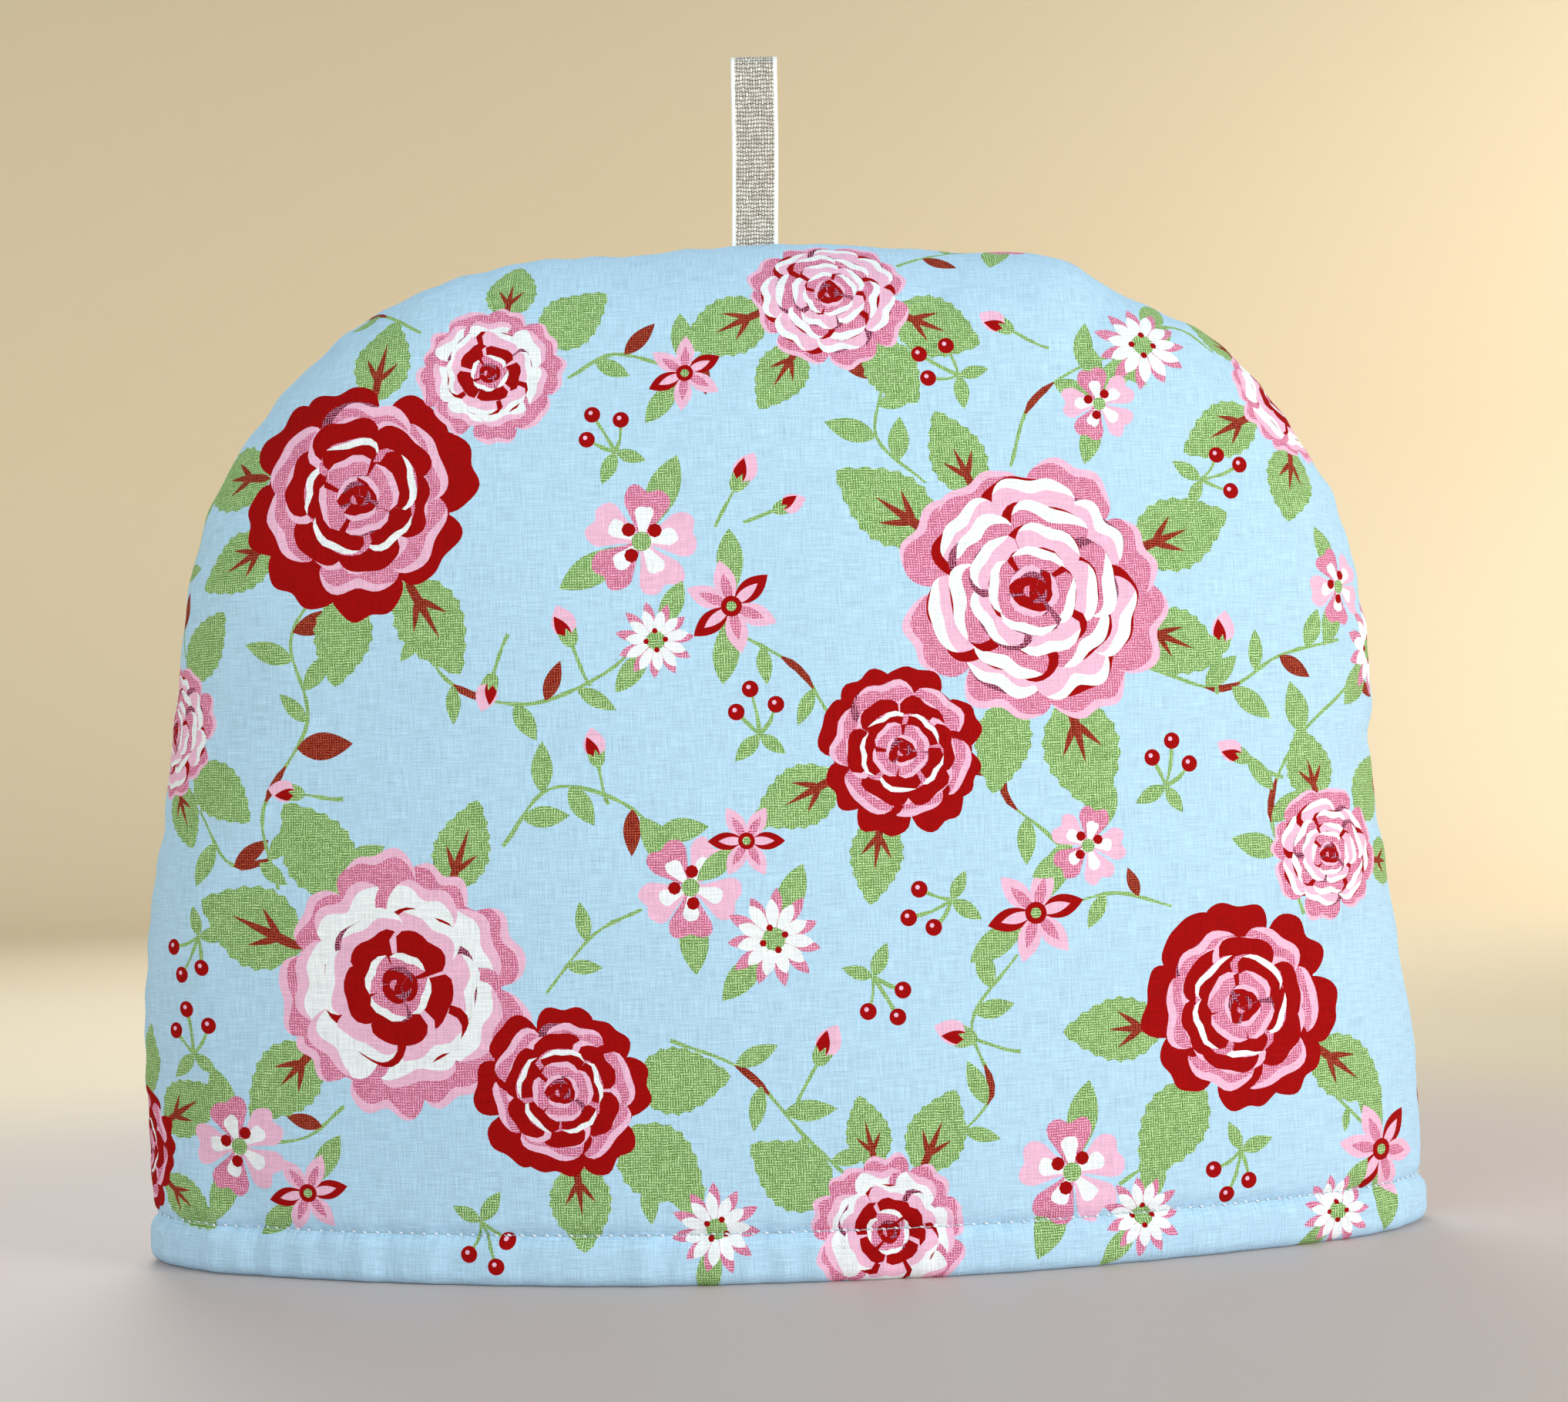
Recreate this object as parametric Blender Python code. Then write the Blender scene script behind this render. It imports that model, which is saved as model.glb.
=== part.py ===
"""Tea cosy: two padded cotton panels sewn together round a dome, with a ribbon loop on top.

Metres, +Z up. The origin is on the table under the middle of the cosy, +X runs along the
hem to the right, and the front panel faces -Y.
"""

import math

import bmesh
import bpy
import numpy as np
from mathutils import Vector

# ---- driving dimensions, in metres --------------------------------------------------

WIDTH = 0.339              # across the hem, end to end
DOME_HEIGHT = 0.2636       # table to the crown seam
SIDE_POWER = 3.4           # roundness of the shoulders, side to side
CROWN_POWER = 3.6          # roundness of the shoulders, up and down
WALL_LEAN = 0.024          # how much the side walls close in, of the half width

PANEL_THICKNESS = 0.008    # cover, wadding and lining together
SEAM_GAP = 0.0003          # between the sewn edges of the two panels
EDGE_DEPTH = 0.014         # how far the padded edge rolls out of the seam
EDGE_WIDTH = 0.022         # how far in from the outline that roll reaches
GROOVE_DEPTH = 0.0022      # the seam lies this deep between the two rolls
GROOVE_FADE = 0.0025       # the groove dies away over this depth

BELLY_DEPTH = 0.051        # fullness of a panel at the hem, past its rolled edge
BELLY_RISE_POWER = 2.6     # how late the belly closes towards the crown
BELLY_SIDE_POWER = 2.1     # how square the belly is from side to side

HEM_HEIGHT = 0.0125        # the hem's stitch line above the table
HEM_RADIUS = 0.0035        # rounding of the folded bottom edge
HEM_EDGE_SHARE = 0.7       # how much of that rounding the flat underside leaves
HEM_PUFF = 0.0010          # the hem band stands out this far
STITCH_SINK = 0.0011       # the stitch line pulls in this far
STITCH_SPREAD = 0.0024     # half width of that valley

RIBBON_WIDTH = 0.012
RIBBON_THICKNESS = 0.001
RIBBON_PLY_GAP = 0.0003    # between the two plies where they are sewn together
LOOP_HEIGHT = 0.0493       # above the crown seam
LOOP_TAIL = 0.008          # caught in the seam
LOOP_RADIUS = 0.0038       # of the round fold at the top, to the middle of the ribbon
LOOP_X = -0.0028           # the ribbon's middle at the seam
LOOP_LEAN = 0.001          # sideways drift from the seam to the fold

# The dome isn't even: each row pushes the outline out (or in, if negative) round one
# place, counted along the outline from the left end of the hem.
OUTLINE_FOLDS = (
    # name, place, half length, push
    ("full left flank", 0.062, 0.034, 0.0022),
    ("left waist", 0.140, 0.026, -0.0018),
    ("left flank pucker", 0.114, 0.008, -0.0012),
    ("left shoulder", 0.198, 0.030, 0.0026),
    ("left of crown", 0.337, 0.018, -0.0016),
    ("crown notch", 0.406, 0.010, -0.0012),
    ("right of crown", 0.426, 0.014, -0.0018),
    ("crown corner", 0.451, 0.012, 0.0013),
    ("flat by the corner", 0.474, 0.019, -0.0036),
    ("right shoulder", 0.555, 0.020, 0.0020),
    ("right waist", 0.634, 0.031, -0.0060),
    ("right waist pucker", 0.616, 0.007, -0.0009),
    ("low right flank", 0.674, 0.018, -0.0020),
)

# Soft troughs in the faces. The angle turns a trough's length from +X towards +Z.
FRONT_FOLDS = (
    # name, x, z, half length, half width, angle in degrees, depth
    ("left hollow", -0.141, 0.147, 0.022, 0.010, 75, 0.0024),
    ("left pucker", -0.156, 0.119, 0.014, 0.0045, -38, 0.0018),
    ("left hem crease", -0.149, 0.031, 0.030, 0.0085, -52, 0.0022),
    ("right pucker", 0.150, 0.119, 0.020, 0.006, 18, 0.0018),
    ("right flank fold", 0.150, 0.079, 0.026, 0.008, 30, 0.0020),
    ("crown pull", 0.043, 0.248, 0.018, 0.006, 80, 0.0012),
    ("corner pull", 0.086, 0.240, 0.020, 0.007, 62, 0.0016),
    ("left crown pull", -0.072, 0.243, 0.020, 0.008, 110, 0.0010),
)
BACK_FOLDS = (
    # name, x, z, half length, half width, angle in degrees, depth
    ("left hollow", -0.136, 0.128, 0.026, 0.010, -64, 0.0022),
    ("left flank fold", -0.150, 0.070, 0.022, 0.007, -28, 0.0018),
    ("right hollow", 0.138, 0.150, 0.024, 0.010, 66, 0.0022),
    ("right hem crease", 0.146, 0.034, 0.028, 0.009, 50, 0.0020),
    ("crown pull", -0.030, 0.246, 0.018, 0.007, 96, 0.0012),
)

# ---- mesh density ---------------------------------------------------------------------

OUTLINE_STEP = 0.002
SHOULDER_PLACE = 0.205     # along the outline, where the sides become the crown
HEM_ROWS = (0.0, 0.0012, 0.0035, 0.0065, 0.0095, 0.0125, 0.0155, 0.0200)
SIDE_ROWS = 9              # rows above the hem, up to the shoulders
CROWN_COLUMNS = 32
EDGE_ANGLES = (0, 14, 32, 52, 72, 90)
FOLD_STEPS = 10            # round the top of the loop
FLANK_STEPS = 8            # up each ply of the loop

COTTON_BLUE = (0.47, 0.68, 0.83, 1.0)
RIBBON_LINEN = (0.50, 0.43, 0.37, 1.0)


def clear_scene():
    for old in list(bpy.data.objects):
        bpy.data.objects.remove(old, do_unlink=True)


def cloth_material(name, colour):
    cloth = bpy.data.materials.new(name)
    cloth.use_nodes = True
    shader = cloth.node_tree.nodes["Principled BSDF"]
    shader.inputs["Base Color"].default_value = colour
    shader.inputs["Roughness"].default_value = 0.85
    shader.inputs["Metallic"].default_value = 0.0
    return cloth


# ---- the dome's outline ---------------------------------------------------------------

def half_width(z):
    """Half the even dome's width at a height."""
    rise = np.clip(z / DOME_HEIGHT, 0.0, 1.0)
    return WIDTH / 2 * (1 - WALL_LEAN * rise) * (1 - rise**CROWN_POWER) ** (1 / SIDE_POWER)


def even_dome():
    """The even dome as finely spaced points, from the left end of the hem to the right."""
    turn = np.linspace(math.pi, 0.0, 8001)
    z = DOME_HEIGHT * np.abs(np.sin(turn)) ** (2 / CROWN_POWER)
    z[[0, -1]] = 0.0
    x = np.sign(np.cos(turn)) * half_width(z)
    return np.stack([x, z], 1)


def lengths_along(points):
    steps = np.linalg.norm(np.diff(points, axis=0), axis=1)
    return np.concatenate([[0.0], np.cumsum(steps)])


def inward_normals(points):
    """In-plane normals that point into the dome, level at the two ends of the hem."""
    along = np.gradient(points, axis=0)
    normal = np.stack([along[:, 1], -along[:, 0]], 1)
    normal[:, 1] *= np.clip(points[:, 1] / HEM_ROWS[-1] - 0.2, 0.0, 1.0)
    return normal / np.linalg.norm(normal, axis=1, keepdims=True)


def uneven_outline():
    """The sewn outline with its flats, notches and full places, centred and at full width."""
    fine = even_dome()
    length = lengths_along(fine)
    place = np.linspace(0.0, length[-1], int(length[-1] / OUTLINE_STEP))
    points = np.stack([np.interp(place, length, fine[:, axis]) for axis in (0, 1)], 1)
    push = sum(out * np.exp(-((place - at) / reach) ** 2) for _, at, reach, out in OUTLINE_FOLDS)
    push += hem_relief(points[:, 1])
    points -= inward_normals(points) * push[:, None]
    points[:, 0] -= (points[:, 0].max() + points[:, 0].min()) / 2
    points[:, 0] *= WIDTH / np.ptp(points[:, 0])
    points[[0, -1], 1] = 0.0
    return points


def hem_relief(z):
    """How far the hem band stands out and the stitch line sinks in, at each height."""
    band = HEM_PUFF * np.exp(-((z - HEM_HEIGHT / 2) / (HEM_HEIGHT / 2)) ** 4)
    valley = STITCH_SINK * np.exp(-((z - HEM_HEIGHT) / STITCH_SPREAD) ** 2)
    return band - valley


# ---- one panel's face -----------------------------------------------------------------

def places_along(total):
    """Where the grid meets the outline: up the left side, over the crown, down the right."""
    rows_up = np.linspace(HEM_ROWS[-1], SHOULDER_PLACE, SIDE_ROWS + 1)[1:]
    left = np.concatenate([HEM_ROWS, rows_up])
    crown = np.linspace(SHOULDER_PLACE, total - SHOULDER_PLACE, CROWN_COLUMNS + 1)[1:-1]
    return np.concatenate([left, crown, total - left[::-1]]), len(left)


def belly(x, z):
    """Fullness of a panel beyond its rolled edge."""
    across = np.clip(np.abs(x) / np.maximum(half_width(z), 1e-6), 0.0, 1.0)
    rise = np.clip(z / DOME_HEIGHT, 0.0, 1.0)
    return BELLY_DEPTH * (1 - rise**BELLY_RISE_POWER) * (1 - across**BELLY_SIDE_POWER)


def trough_depth(x, z, folds):
    """The soft troughs' depth at a place on the face."""
    total = np.zeros_like(x)
    for _, fold_x, fold_z, half_length, half_wide, angle, depth in folds:
        turn = math.radians(angle)
        along = (x - fold_x) * math.cos(turn) + (z - fold_z) * math.sin(turn)
        across = (z - fold_z) * math.cos(turn) - (x - fold_x) * math.sin(turn)
        total += depth * np.exp(-((along / half_length) ** 2) - (across / half_wide) ** 2)
    return total


def edge_rings(outline, normals):
    """Rings of (x, z, roll) from the seam to the foot of the rolled edge."""
    rings = []
    for angle in EDGE_ANGLES:
        turn = math.radians(angle)
        inset = EDGE_WIDTH * (1 - math.cos(turn))
        roll = EDGE_DEPTH * math.sin(turn)
        ring = outline + normals * inset
        ring[[0, -1], 1] = 0.0
        rings.append((ring, roll))
    return rings


def face_grid(ring, rows):
    """(x, z) of the grid inside the innermost ring, hem row first."""
    left, right = ring[:rows], ring[::-1][:rows]
    crown = ring[rows - 1:len(ring) - rows + 1]
    share = np.linspace(0.0, 1.0, len(crown))[:, None]
    bulge = crown - ((1 - share) * crown[0] + share * crown[-1])
    rise = lengths_along(left) / lengths_along(left)[-1]
    return np.stack([(1 - share) * left[j] + share * right[j] + rise[j] ** 2 * bulge
                     for j in range(rows)])


def face_points(outline, folds):
    """Every point of the plain outer face, and the grid of point numbers as quads."""
    total = lengths_along(outline)[-1]
    places, rows = places_along(total)
    normals = inward_normals(outline)
    here = lengths_along(outline)

    def sample(values):
        found = np.stack([np.interp(places, here, values[:, axis]) for axis in (0, 1)], 1)
        found[[0, -1], 1] = 0.0
        return found

    rings = edge_rings(sample(outline), sample(normals))
    count = len(places)
    points = [np.column_stack([ring, np.full(count, roll)]) for ring, roll in rings]
    grid = face_grid(rings[-1][0], rows)
    inner = grid[:-1, 1:-1]
    flat = inner.reshape(-1, 2)
    points.append(np.column_stack([flat, np.full(len(flat), EDGE_DEPTH)]))
    points = np.concatenate(points)

    x, z, roll = points.T
    full = belly(x, z) - trough_depth(x, z, folds)
    depth = SEAM_GAP / 2 + roll + full * roll / EDGE_DEPTH
    places_xyz = np.column_stack([x, -depth, z])
    return places_xyz, roll, ring_quads(len(rings), count) + grid_quads(len(rings), count, rows)


def ring_quads(ring_count, count):
    """Quads between neighbouring rings, facing out of the front panel."""
    quads = []
    for ring in range(ring_count - 1):
        for i in range(count - 1):
            first, second = ring * count + i, (ring + 1) * count + i
            quads.append((first, second, second + 1, first + 1))
    return quads


def grid_quads(ring_count, count, rows):
    """Quads inside the last ring, facing out of the front panel."""
    last_ring = (ring_count - 1) * count
    inside = ring_count * count
    columns = CROWN_COLUMNS + 1

    def number(j, i):
        if i == 0:
            return last_ring + j
        if i == columns - 1:
            return last_ring + count - 1 - j
        if j == rows - 1:
            return last_ring + rows - 1 + i
        return inside + j * (columns - 2) + i - 1

    return [(number(j, i), number(j, i + 1), number(j + 1, i + 1), number(j + 1, i))
            for j in range(rows - 1) for i in range(columns - 1)]


def outward_normals(points, quads):
    """Each point's normal, flat in the seam plane at the seam and level at the hem."""
    sheet = bmesh.new()
    for point in points:
        sheet.verts.new(point)
    sheet.verts.ensure_lookup_table()
    for quad in quads:
        sheet.faces.new([sheet.verts[i] for i in quad])
    sheet.normal_update()
    normals = np.array([vert.normal[:] for vert in sheet.verts])
    sheet.free()
    normals[points[:, 1] > -SEAM_GAP, 1] = 0.0
    normals[points[:, 2] < HEM_RADIUS, 2] = 0.0
    return normals / np.linalg.norm(normals, axis=1, keepdims=True)


def hem_inset(z):
    """How far the rounded bottom edge draws back at each height."""
    share = np.clip(1 - z / HEM_RADIUS, 0.0, 1.0)
    return HEM_EDGE_SHARE * HEM_RADIUS * (1 - np.sqrt(1 - share**2))


def panel_mesh(outline, folds, name, mirror):
    """A closed padded panel: outer face, inner face, sewn edge and flat hem."""
    plain, roll, quads = face_points(outline, folds)
    normals = outward_normals(plain, quads)
    drawn_back = hem_inset(plain[:, 2])
    groove = GROOVE_DEPTH * np.exp(-roll / GROOVE_FADE) * (roll < EDGE_DEPTH)
    relief = hem_relief(plain[:, 2]) * roll / EDGE_DEPTH
    outer = plain + normals * (relief - drawn_back - groove)[:, None]
    inner = plain - normals * (PANEL_THICKNESS - drawn_back)[:, None]

    seam = list(range(len(places_along(lengths_along(outline)[-1])[0])))
    hem = hem_loop(plain)
    count = len(plain)
    faces = [tuple(quad) for quad in quads]
    faces += [tuple(count + i for i in reversed(quad)) for quad in quads]
    faces += [(a, b, count + b, count + a) for a, b in zip(seam, seam[1:])]
    faces += [(b, a, count + a, count + b) for a, b in zip(hem, hem[1:])]

    points = np.concatenate([outer, inner])
    if mirror:
        points[:, 1] *= -1
        faces = [tuple(reversed(face)) for face in faces]
    mesh = bpy.data.meshes.new(name)
    mesh.from_pydata([Vector(point) for point in points], [], faces)
    mesh.validate()
    mesh.shade_smooth()
    mesh.set_sharp_from_angle(angle=math.radians(50))
    return mesh


def hem_loop(plain):
    """The numbers of the points on the table, from the left seam to the right one."""
    on_table = np.flatnonzero(plain[:, 2] < 1e-6)
    return [int(i) for i in on_table[np.argsort(plain[on_table, 0])]]


def add_panel(name, outline, folds, mirror, cutter):
    panel = bpy.data.objects.new(name, panel_mesh(outline, folds, name, mirror))
    bpy.context.scene.collection.objects.link(panel)
    panel.data.materials.append(cloth_material(name + " cotton", COTTON_BLUE))
    recess = panel.modifiers.new("ribbon recess", "BOOLEAN")
    recess.operation = "DIFFERENCE"
    recess.object = cutter
    return panel


# ---- the ribbon loop ------------------------------------------------------------------

def crown_height(outline):
    """The outline's height over the ribbon."""
    middle = np.abs(outline[:, 0] - LOOP_X) < RIBBON_WIDTH
    return float(outline[middle, 1].mean())


def loop_side(crown):
    """The front ply's middle line, (y, z), from the end of its tail to the top of the fold."""
    sewn = RIBBON_PLY_GAP / 2 + RIBBON_THICKNESS / 2
    top = crown + LOOP_HEIGHT - RIBBON_THICKNESS / 2
    fold_centre = top - LOOP_RADIUS
    side = [(-sewn, crown - LOOP_TAIL), (-sewn, crown - GROOVE_DEPTH)]
    for step in range(1, FLANK_STEPS + 1):
        share = step / FLANK_STEPS
        swell = math.sin(share * math.pi / 2) ** 2
        side.append((-sewn - (LOOP_RADIUS - sewn) * swell,
                     crown - GROOVE_DEPTH + (fold_centre - crown + GROOVE_DEPTH) * share))
    for step in range(1, FOLD_STEPS // 2 + 1):
        turn = math.pi / 2 * step / (FOLD_STEPS // 2)
        side.append((-LOOP_RADIUS * math.cos(turn), fold_centre + LOOP_RADIUS * math.sin(turn)))
    return side


def ribbon_loop(crown):
    """One ribbon, folded in half, with both tails down."""
    front = loop_side(crown)
    line = [Vector((y, z)) for y, z in front] + [Vector((-y, z)) for y, z in reversed(front[:-1])]
    line[len(front) - 1].x = 0.0
    points, faces = [], []
    for i, middle in enumerate(line):
        ahead = line[min(i + 1, len(line) - 1)] - line[max(i - 1, 0)]
        across = Vector((-ahead.y, ahead.x)).normalized() * RIBBON_THICKNESS / 2
        drift = LOOP_LEAN * max(middle.y - crown, 0.0) / LOOP_HEIGHT
        for side in (-1, 1):
            x = LOOP_X + drift + side * RIBBON_WIDTH / 2
            for place in (middle + across, middle - across):
                points.append((x, place.x, place.y))
    for i in range(len(line) - 1):
        a, b = 4 * i, 4 * i + 4
        faces += [(a + j, b + j, b + k, a + k) for j, k in ((0, 1), (1, 3), (3, 2), (2, 0))]
    last = 4 * (len(line) - 1)
    faces += [(0, 1, 3, 2), (last + 2, last + 3, last + 1, last)]

    mesh = bpy.data.meshes.new("hanging_loop")
    mesh.from_pydata(points, [], faces)
    mesh.validate()
    mesh.shade_smooth()
    mesh.set_sharp_from_angle(angle=math.radians(40))
    loop = bpy.data.objects.new("hanging_loop", mesh)
    bpy.context.scene.collection.objects.link(loop)
    mesh.materials.append(cloth_material("linen ribbon", RIBBON_LINEN))
    return loop


def tail_cutter(crown):
    """The room that the ribbon's tails take up between the two panels."""
    clear = SEAM_GAP
    half_thick = RIBBON_PLY_GAP / 2 + RIBBON_THICKNESS + clear
    low, high = crown - LOOP_TAIL - clear, crown + LOOP_TAIL
    bpy.ops.mesh.primitive_cube_add(size=1, location=(LOOP_X, 0, (low + high) / 2))
    cutter = bpy.context.object
    cutter.name = "tail_room"
    cutter.scale = (RIBBON_WIDTH + 2 * clear, 2 * half_thick, high - low)
    cutter.display_type = "WIRE"
    cutter.hide_render = True
    return cutter


def main():
    clear_scene()
    outline = uneven_outline()
    crown = crown_height(outline)
    cutter = tail_cutter(crown)
    add_panel("front_panel", outline, FRONT_FOLDS, False, cutter)
    add_panel("back_panel", outline, BACK_FOLDS, True, cutter)
    ribbon_loop(crown)


main()
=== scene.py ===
import math

import bpy
import numpy as np
from mathutils import Matrix, Vector
from mathutils.geometry import delaunay_2d_cdt
from mathutils.kdtree import KDTree


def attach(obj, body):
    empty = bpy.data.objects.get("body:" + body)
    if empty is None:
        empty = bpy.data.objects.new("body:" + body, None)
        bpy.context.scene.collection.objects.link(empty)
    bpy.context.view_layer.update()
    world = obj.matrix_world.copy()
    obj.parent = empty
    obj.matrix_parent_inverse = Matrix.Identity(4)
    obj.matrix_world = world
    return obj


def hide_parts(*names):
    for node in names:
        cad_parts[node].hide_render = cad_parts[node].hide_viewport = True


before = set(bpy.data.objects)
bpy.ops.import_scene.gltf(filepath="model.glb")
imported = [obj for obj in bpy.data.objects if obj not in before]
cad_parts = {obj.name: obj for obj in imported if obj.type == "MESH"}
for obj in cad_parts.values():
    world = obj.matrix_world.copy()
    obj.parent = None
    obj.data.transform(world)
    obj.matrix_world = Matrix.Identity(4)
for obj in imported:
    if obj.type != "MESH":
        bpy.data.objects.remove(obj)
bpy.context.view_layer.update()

mm = 0.001


def clearSelection():
    if bpy.context.object and bpy.context.object.mode != "OBJECT":
        bpy.ops.object.mode_set(mode="OBJECT")
    bpy.ops.object.select_all(action="DESELECT")


# Camera: level with the middle of the cosy, a touch left of it and slightly turned.
print("camera")
view = {
    "distance": 0.80,
    "height": 0.142,
    "side": 0.0018,
    "yaw": 1.6,
    "roll": 1.6,
    "lens": 69.35,
    "sensor": 36.0,
}


def addCamera():
    eye = bpy.data.cameras.new("camera")
    eye.sensor_fit = "HORIZONTAL"
    eye.sensor_width = view["sensor"]
    eye.lens = view["lens"]
    camera = bpy.data.objects.new("camera", eye)
    bpy.context.scene.collection.objects.link(camera)
    yaw = math.radians(view["yaw"])
    place = Vector((view["side"] - view["distance"] * math.sin(yaw),
                    -view["distance"] * math.cos(yaw), view["height"]))
    ahead = Vector((view["side"], 0, view["height"])) - place
    turn = ahead.to_track_quat("-Z", "Y").to_matrix().to_4x4()
    roll = Matrix.Rotation(math.radians(-view["roll"]), 4, "Z")
    camera.matrix_world = Matrix.Translation(place) @ turn @ roll
    bpy.context.scene.camera = camera


addCamera()

# The padded panels' form: a sewn outline, a rolled edge, a belly, soft folds and a stitched hem.

dome = {
    "width": 0.339,
    "height": 0.2636,
    "sidePower": 3.4,
    "crownPower": 3.6,
    "wallLean": 0.024,
    "finePoints": 8001,        # along the even outline, before its folds
}
panel = {
    "thickness": 0.008,
    "seamGap": 0.0003,
    "seamStep": 0.0005,        # between the points of the sewn outline
    "sewnWidth": 0.0002,       # cloth this near the seam faces straight out of it
    "edgeDepth": 0.014,
    "edgeWidth": 0.022,
    "edgeFull": 0.010,         # cloth that the belly adds to the rolled edge
    "grooveDepth": 0.0022,
    "grooveFade": 0.0025,
    "bellyDepth": 0.051,
    "bellyRisePower": 2.6,
    "bellySidePower": 2.1,
    "puckerDepth": 0.00045,    # of the gathers along the seam
    "puckerReach": 0.013,
    "puckerFromHem": 0.02,     # the gathers fade in over this height above the hem's edge
    "puckerLengths": (0.010, 0.030),
    "swell": 0.0005,           # slow unevenness of the wadding
    "swellLengths": (0.045, 0.11),
}
hem = {
    "height": 0.0125,
    "radius": 0.0035,
    "edgeShare": 0.7,
    "puff": 0.0010,
    "sink": 0.0012,
    "spread": 0.0019,
    "ditch": 0.00045,          # the narrow groove that the thread pulls in
    "ditchWidth": 0.0005,
    "stitchPitch": 0.0032,
    "dimple": 0.00030,         # depth of a needle hole's dimple
    "dimpleWidth": 0.0011,
    "ripple": 0.00050,         # unevenness along the hem
    "rippleLengths": (0.006, 0.020),
    "rippleMiddle": 0.55,      # of the band that it fills, and its spread, of the hem's height
    "rippleSpread": 0.75,
    "levelHeight": 0.020,      # over this height the seam's folds turn from level to square,
    "levelShare": 0.2,         # and they start to turn at this share of it
}
ribbon = {
    "width": 0.012,
    "plyGap": 0.0003,
    "solidThickness": 0.001,   # of the CAD solid, whose middle line the ribbon follows
    "thickness": 0.0006,
    "loopHeight": 0.0493,
    "tail": 0.008,
    "radius": 0.0038,
    "place": -0.0025,
    "lean": 0.00125,
    "slot": 0.0013,            # how far the seam parts round the tails
    "slotHalfWidth": 0.0086,
    "slotDepth": 0.006,
}

outlineFolds = (
    # name, place along the seam from the left end of the hem, half length, push
    ("full left flank", 0.062, 0.034, 0.0022),
    ("left waist", 0.140, 0.026, -0.0018),
    ("left flank pucker", 0.114, 0.008, -0.0012),
    ("left shoulder", 0.198, 0.030, 0.0026),
    ("left of crown", 0.337, 0.018, -0.0016),
    ("crown notch", 0.406, 0.010, -0.0012),
    ("right of crown", 0.426, 0.014, -0.0018),
    ("crown corner", 0.451, 0.012, 0.0013),
    ("flat by the corner", 0.474, 0.019, -0.0036),
    ("right shoulder", 0.555, 0.020, 0.0020),
    ("right waist", 0.634, 0.031, -0.0060),
    ("right waist pucker", 0.616, 0.007, -0.0009),
    ("low right flank", 0.674, 0.018, -0.0020),
)

# Soft troughs in the faces. The angle turns a trough's length from +X towards +Z.
frontFolds = (
    # name, x, z, half length, half width, angle in degrees, depth
    ("left hollow", -0.141, 0.147, 0.022, 0.010, 75, 0.0024),
    ("left pucker", -0.156, 0.119, 0.014, 0.0045, -38, 0.0018),
    ("left hem crease", -0.149, 0.031, 0.030, 0.0085, -52, 0.0022),
    ("right pucker", 0.150, 0.119, 0.020, 0.006, 18, 0.0018),
    ("right flank fold", 0.150, 0.079, 0.026, 0.008, 30, 0.0020),
    ("crown pull", 0.043, 0.248, 0.018, 0.006, 80, 0.0012),
    ("corner pull", 0.086, 0.240, 0.020, 0.007, 62, 0.0016),
    ("left crown pull", -0.072, 0.243, 0.020, 0.008, 110, 0.0010),
)
backFolds = (
    ("left hollow", -0.136, 0.128, 0.026, 0.010, -64, 0.0022),
    ("left flank fold", -0.150, 0.070, 0.022, 0.007, -28, 0.0018),
    ("right hollow", 0.138, 0.150, 0.024, 0.010, 66, 0.0022),
    ("right hem crease", 0.146, 0.034, 0.028, 0.009, 50, 0.0020),
    ("crown pull", -0.030, 0.246, 0.018, 0.007, 96, 0.0012),
)


def halfWidth(z):
    rise = np.clip(z / dome["height"], 0.0, 1.0)
    lean = 1 - dome["wallLean"] * rise
    return dome["width"] / 2 * lean * (1 - rise ** dome["crownPower"]) ** (1 / dome["sidePower"])


def evenDome():
    turn = np.linspace(math.pi, 0.0, dome["finePoints"])
    z = dome["height"] * np.abs(np.sin(turn)) ** (2 / dome["crownPower"])
    z[[0, -1]] = 0.0
    return np.stack([np.sign(np.cos(turn)) * halfWidth(z), z], 1)


def lengthsAlong(points):
    steps = np.linalg.norm(np.diff(points, axis=0), axis=1)
    return np.concatenate([[0.0], np.cumsum(steps)])


def resampled(points, step):
    # a line's points at even steps, and their places along it
    length = lengthsAlong(points)
    place = np.linspace(0.0, length[-1], int(length[-1] / step))
    return np.stack([np.interp(place, length, points[:, axis]) for axis in (0, 1)], 1), place


def unit(vectors):
    return vectors / np.maximum(np.linalg.norm(vectors, axis=1, keepdims=True), 1e-12)


def flatTree(points):
    tree = KDTree(len(points))
    for i, (u, v) in enumerate(points):
        tree.insert((u, v, 0), i)
    tree.balance()
    return tree


def nearest(tree, points):
    return np.array([tree.find((u, v, 0))[1] for u, v in points], int)


def inwardNormals(points, levelHem):
    along = np.gradient(points, axis=0)
    normal = np.stack([along[:, 1], -along[:, 0]], 1)
    if levelHem:
        normal[:, 1] *= np.clip(points[:, 1] / hem["levelHeight"] - hem["levelShare"], 0.0, 1.0)
    return unit(normal)


def hemRelief(z):
    band = hem["puff"] * np.exp(-((z - hem["height"] / 2) / (hem["height"] / 2)) ** 4)
    ditch = hem["ditch"] * np.exp(-((z - hem["height"]) / hem["ditchWidth"]) ** 2)
    return band - ditch - hem["sink"] * np.exp(-((z - hem["height"]) / hem["spread"]) ** 2)


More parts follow.
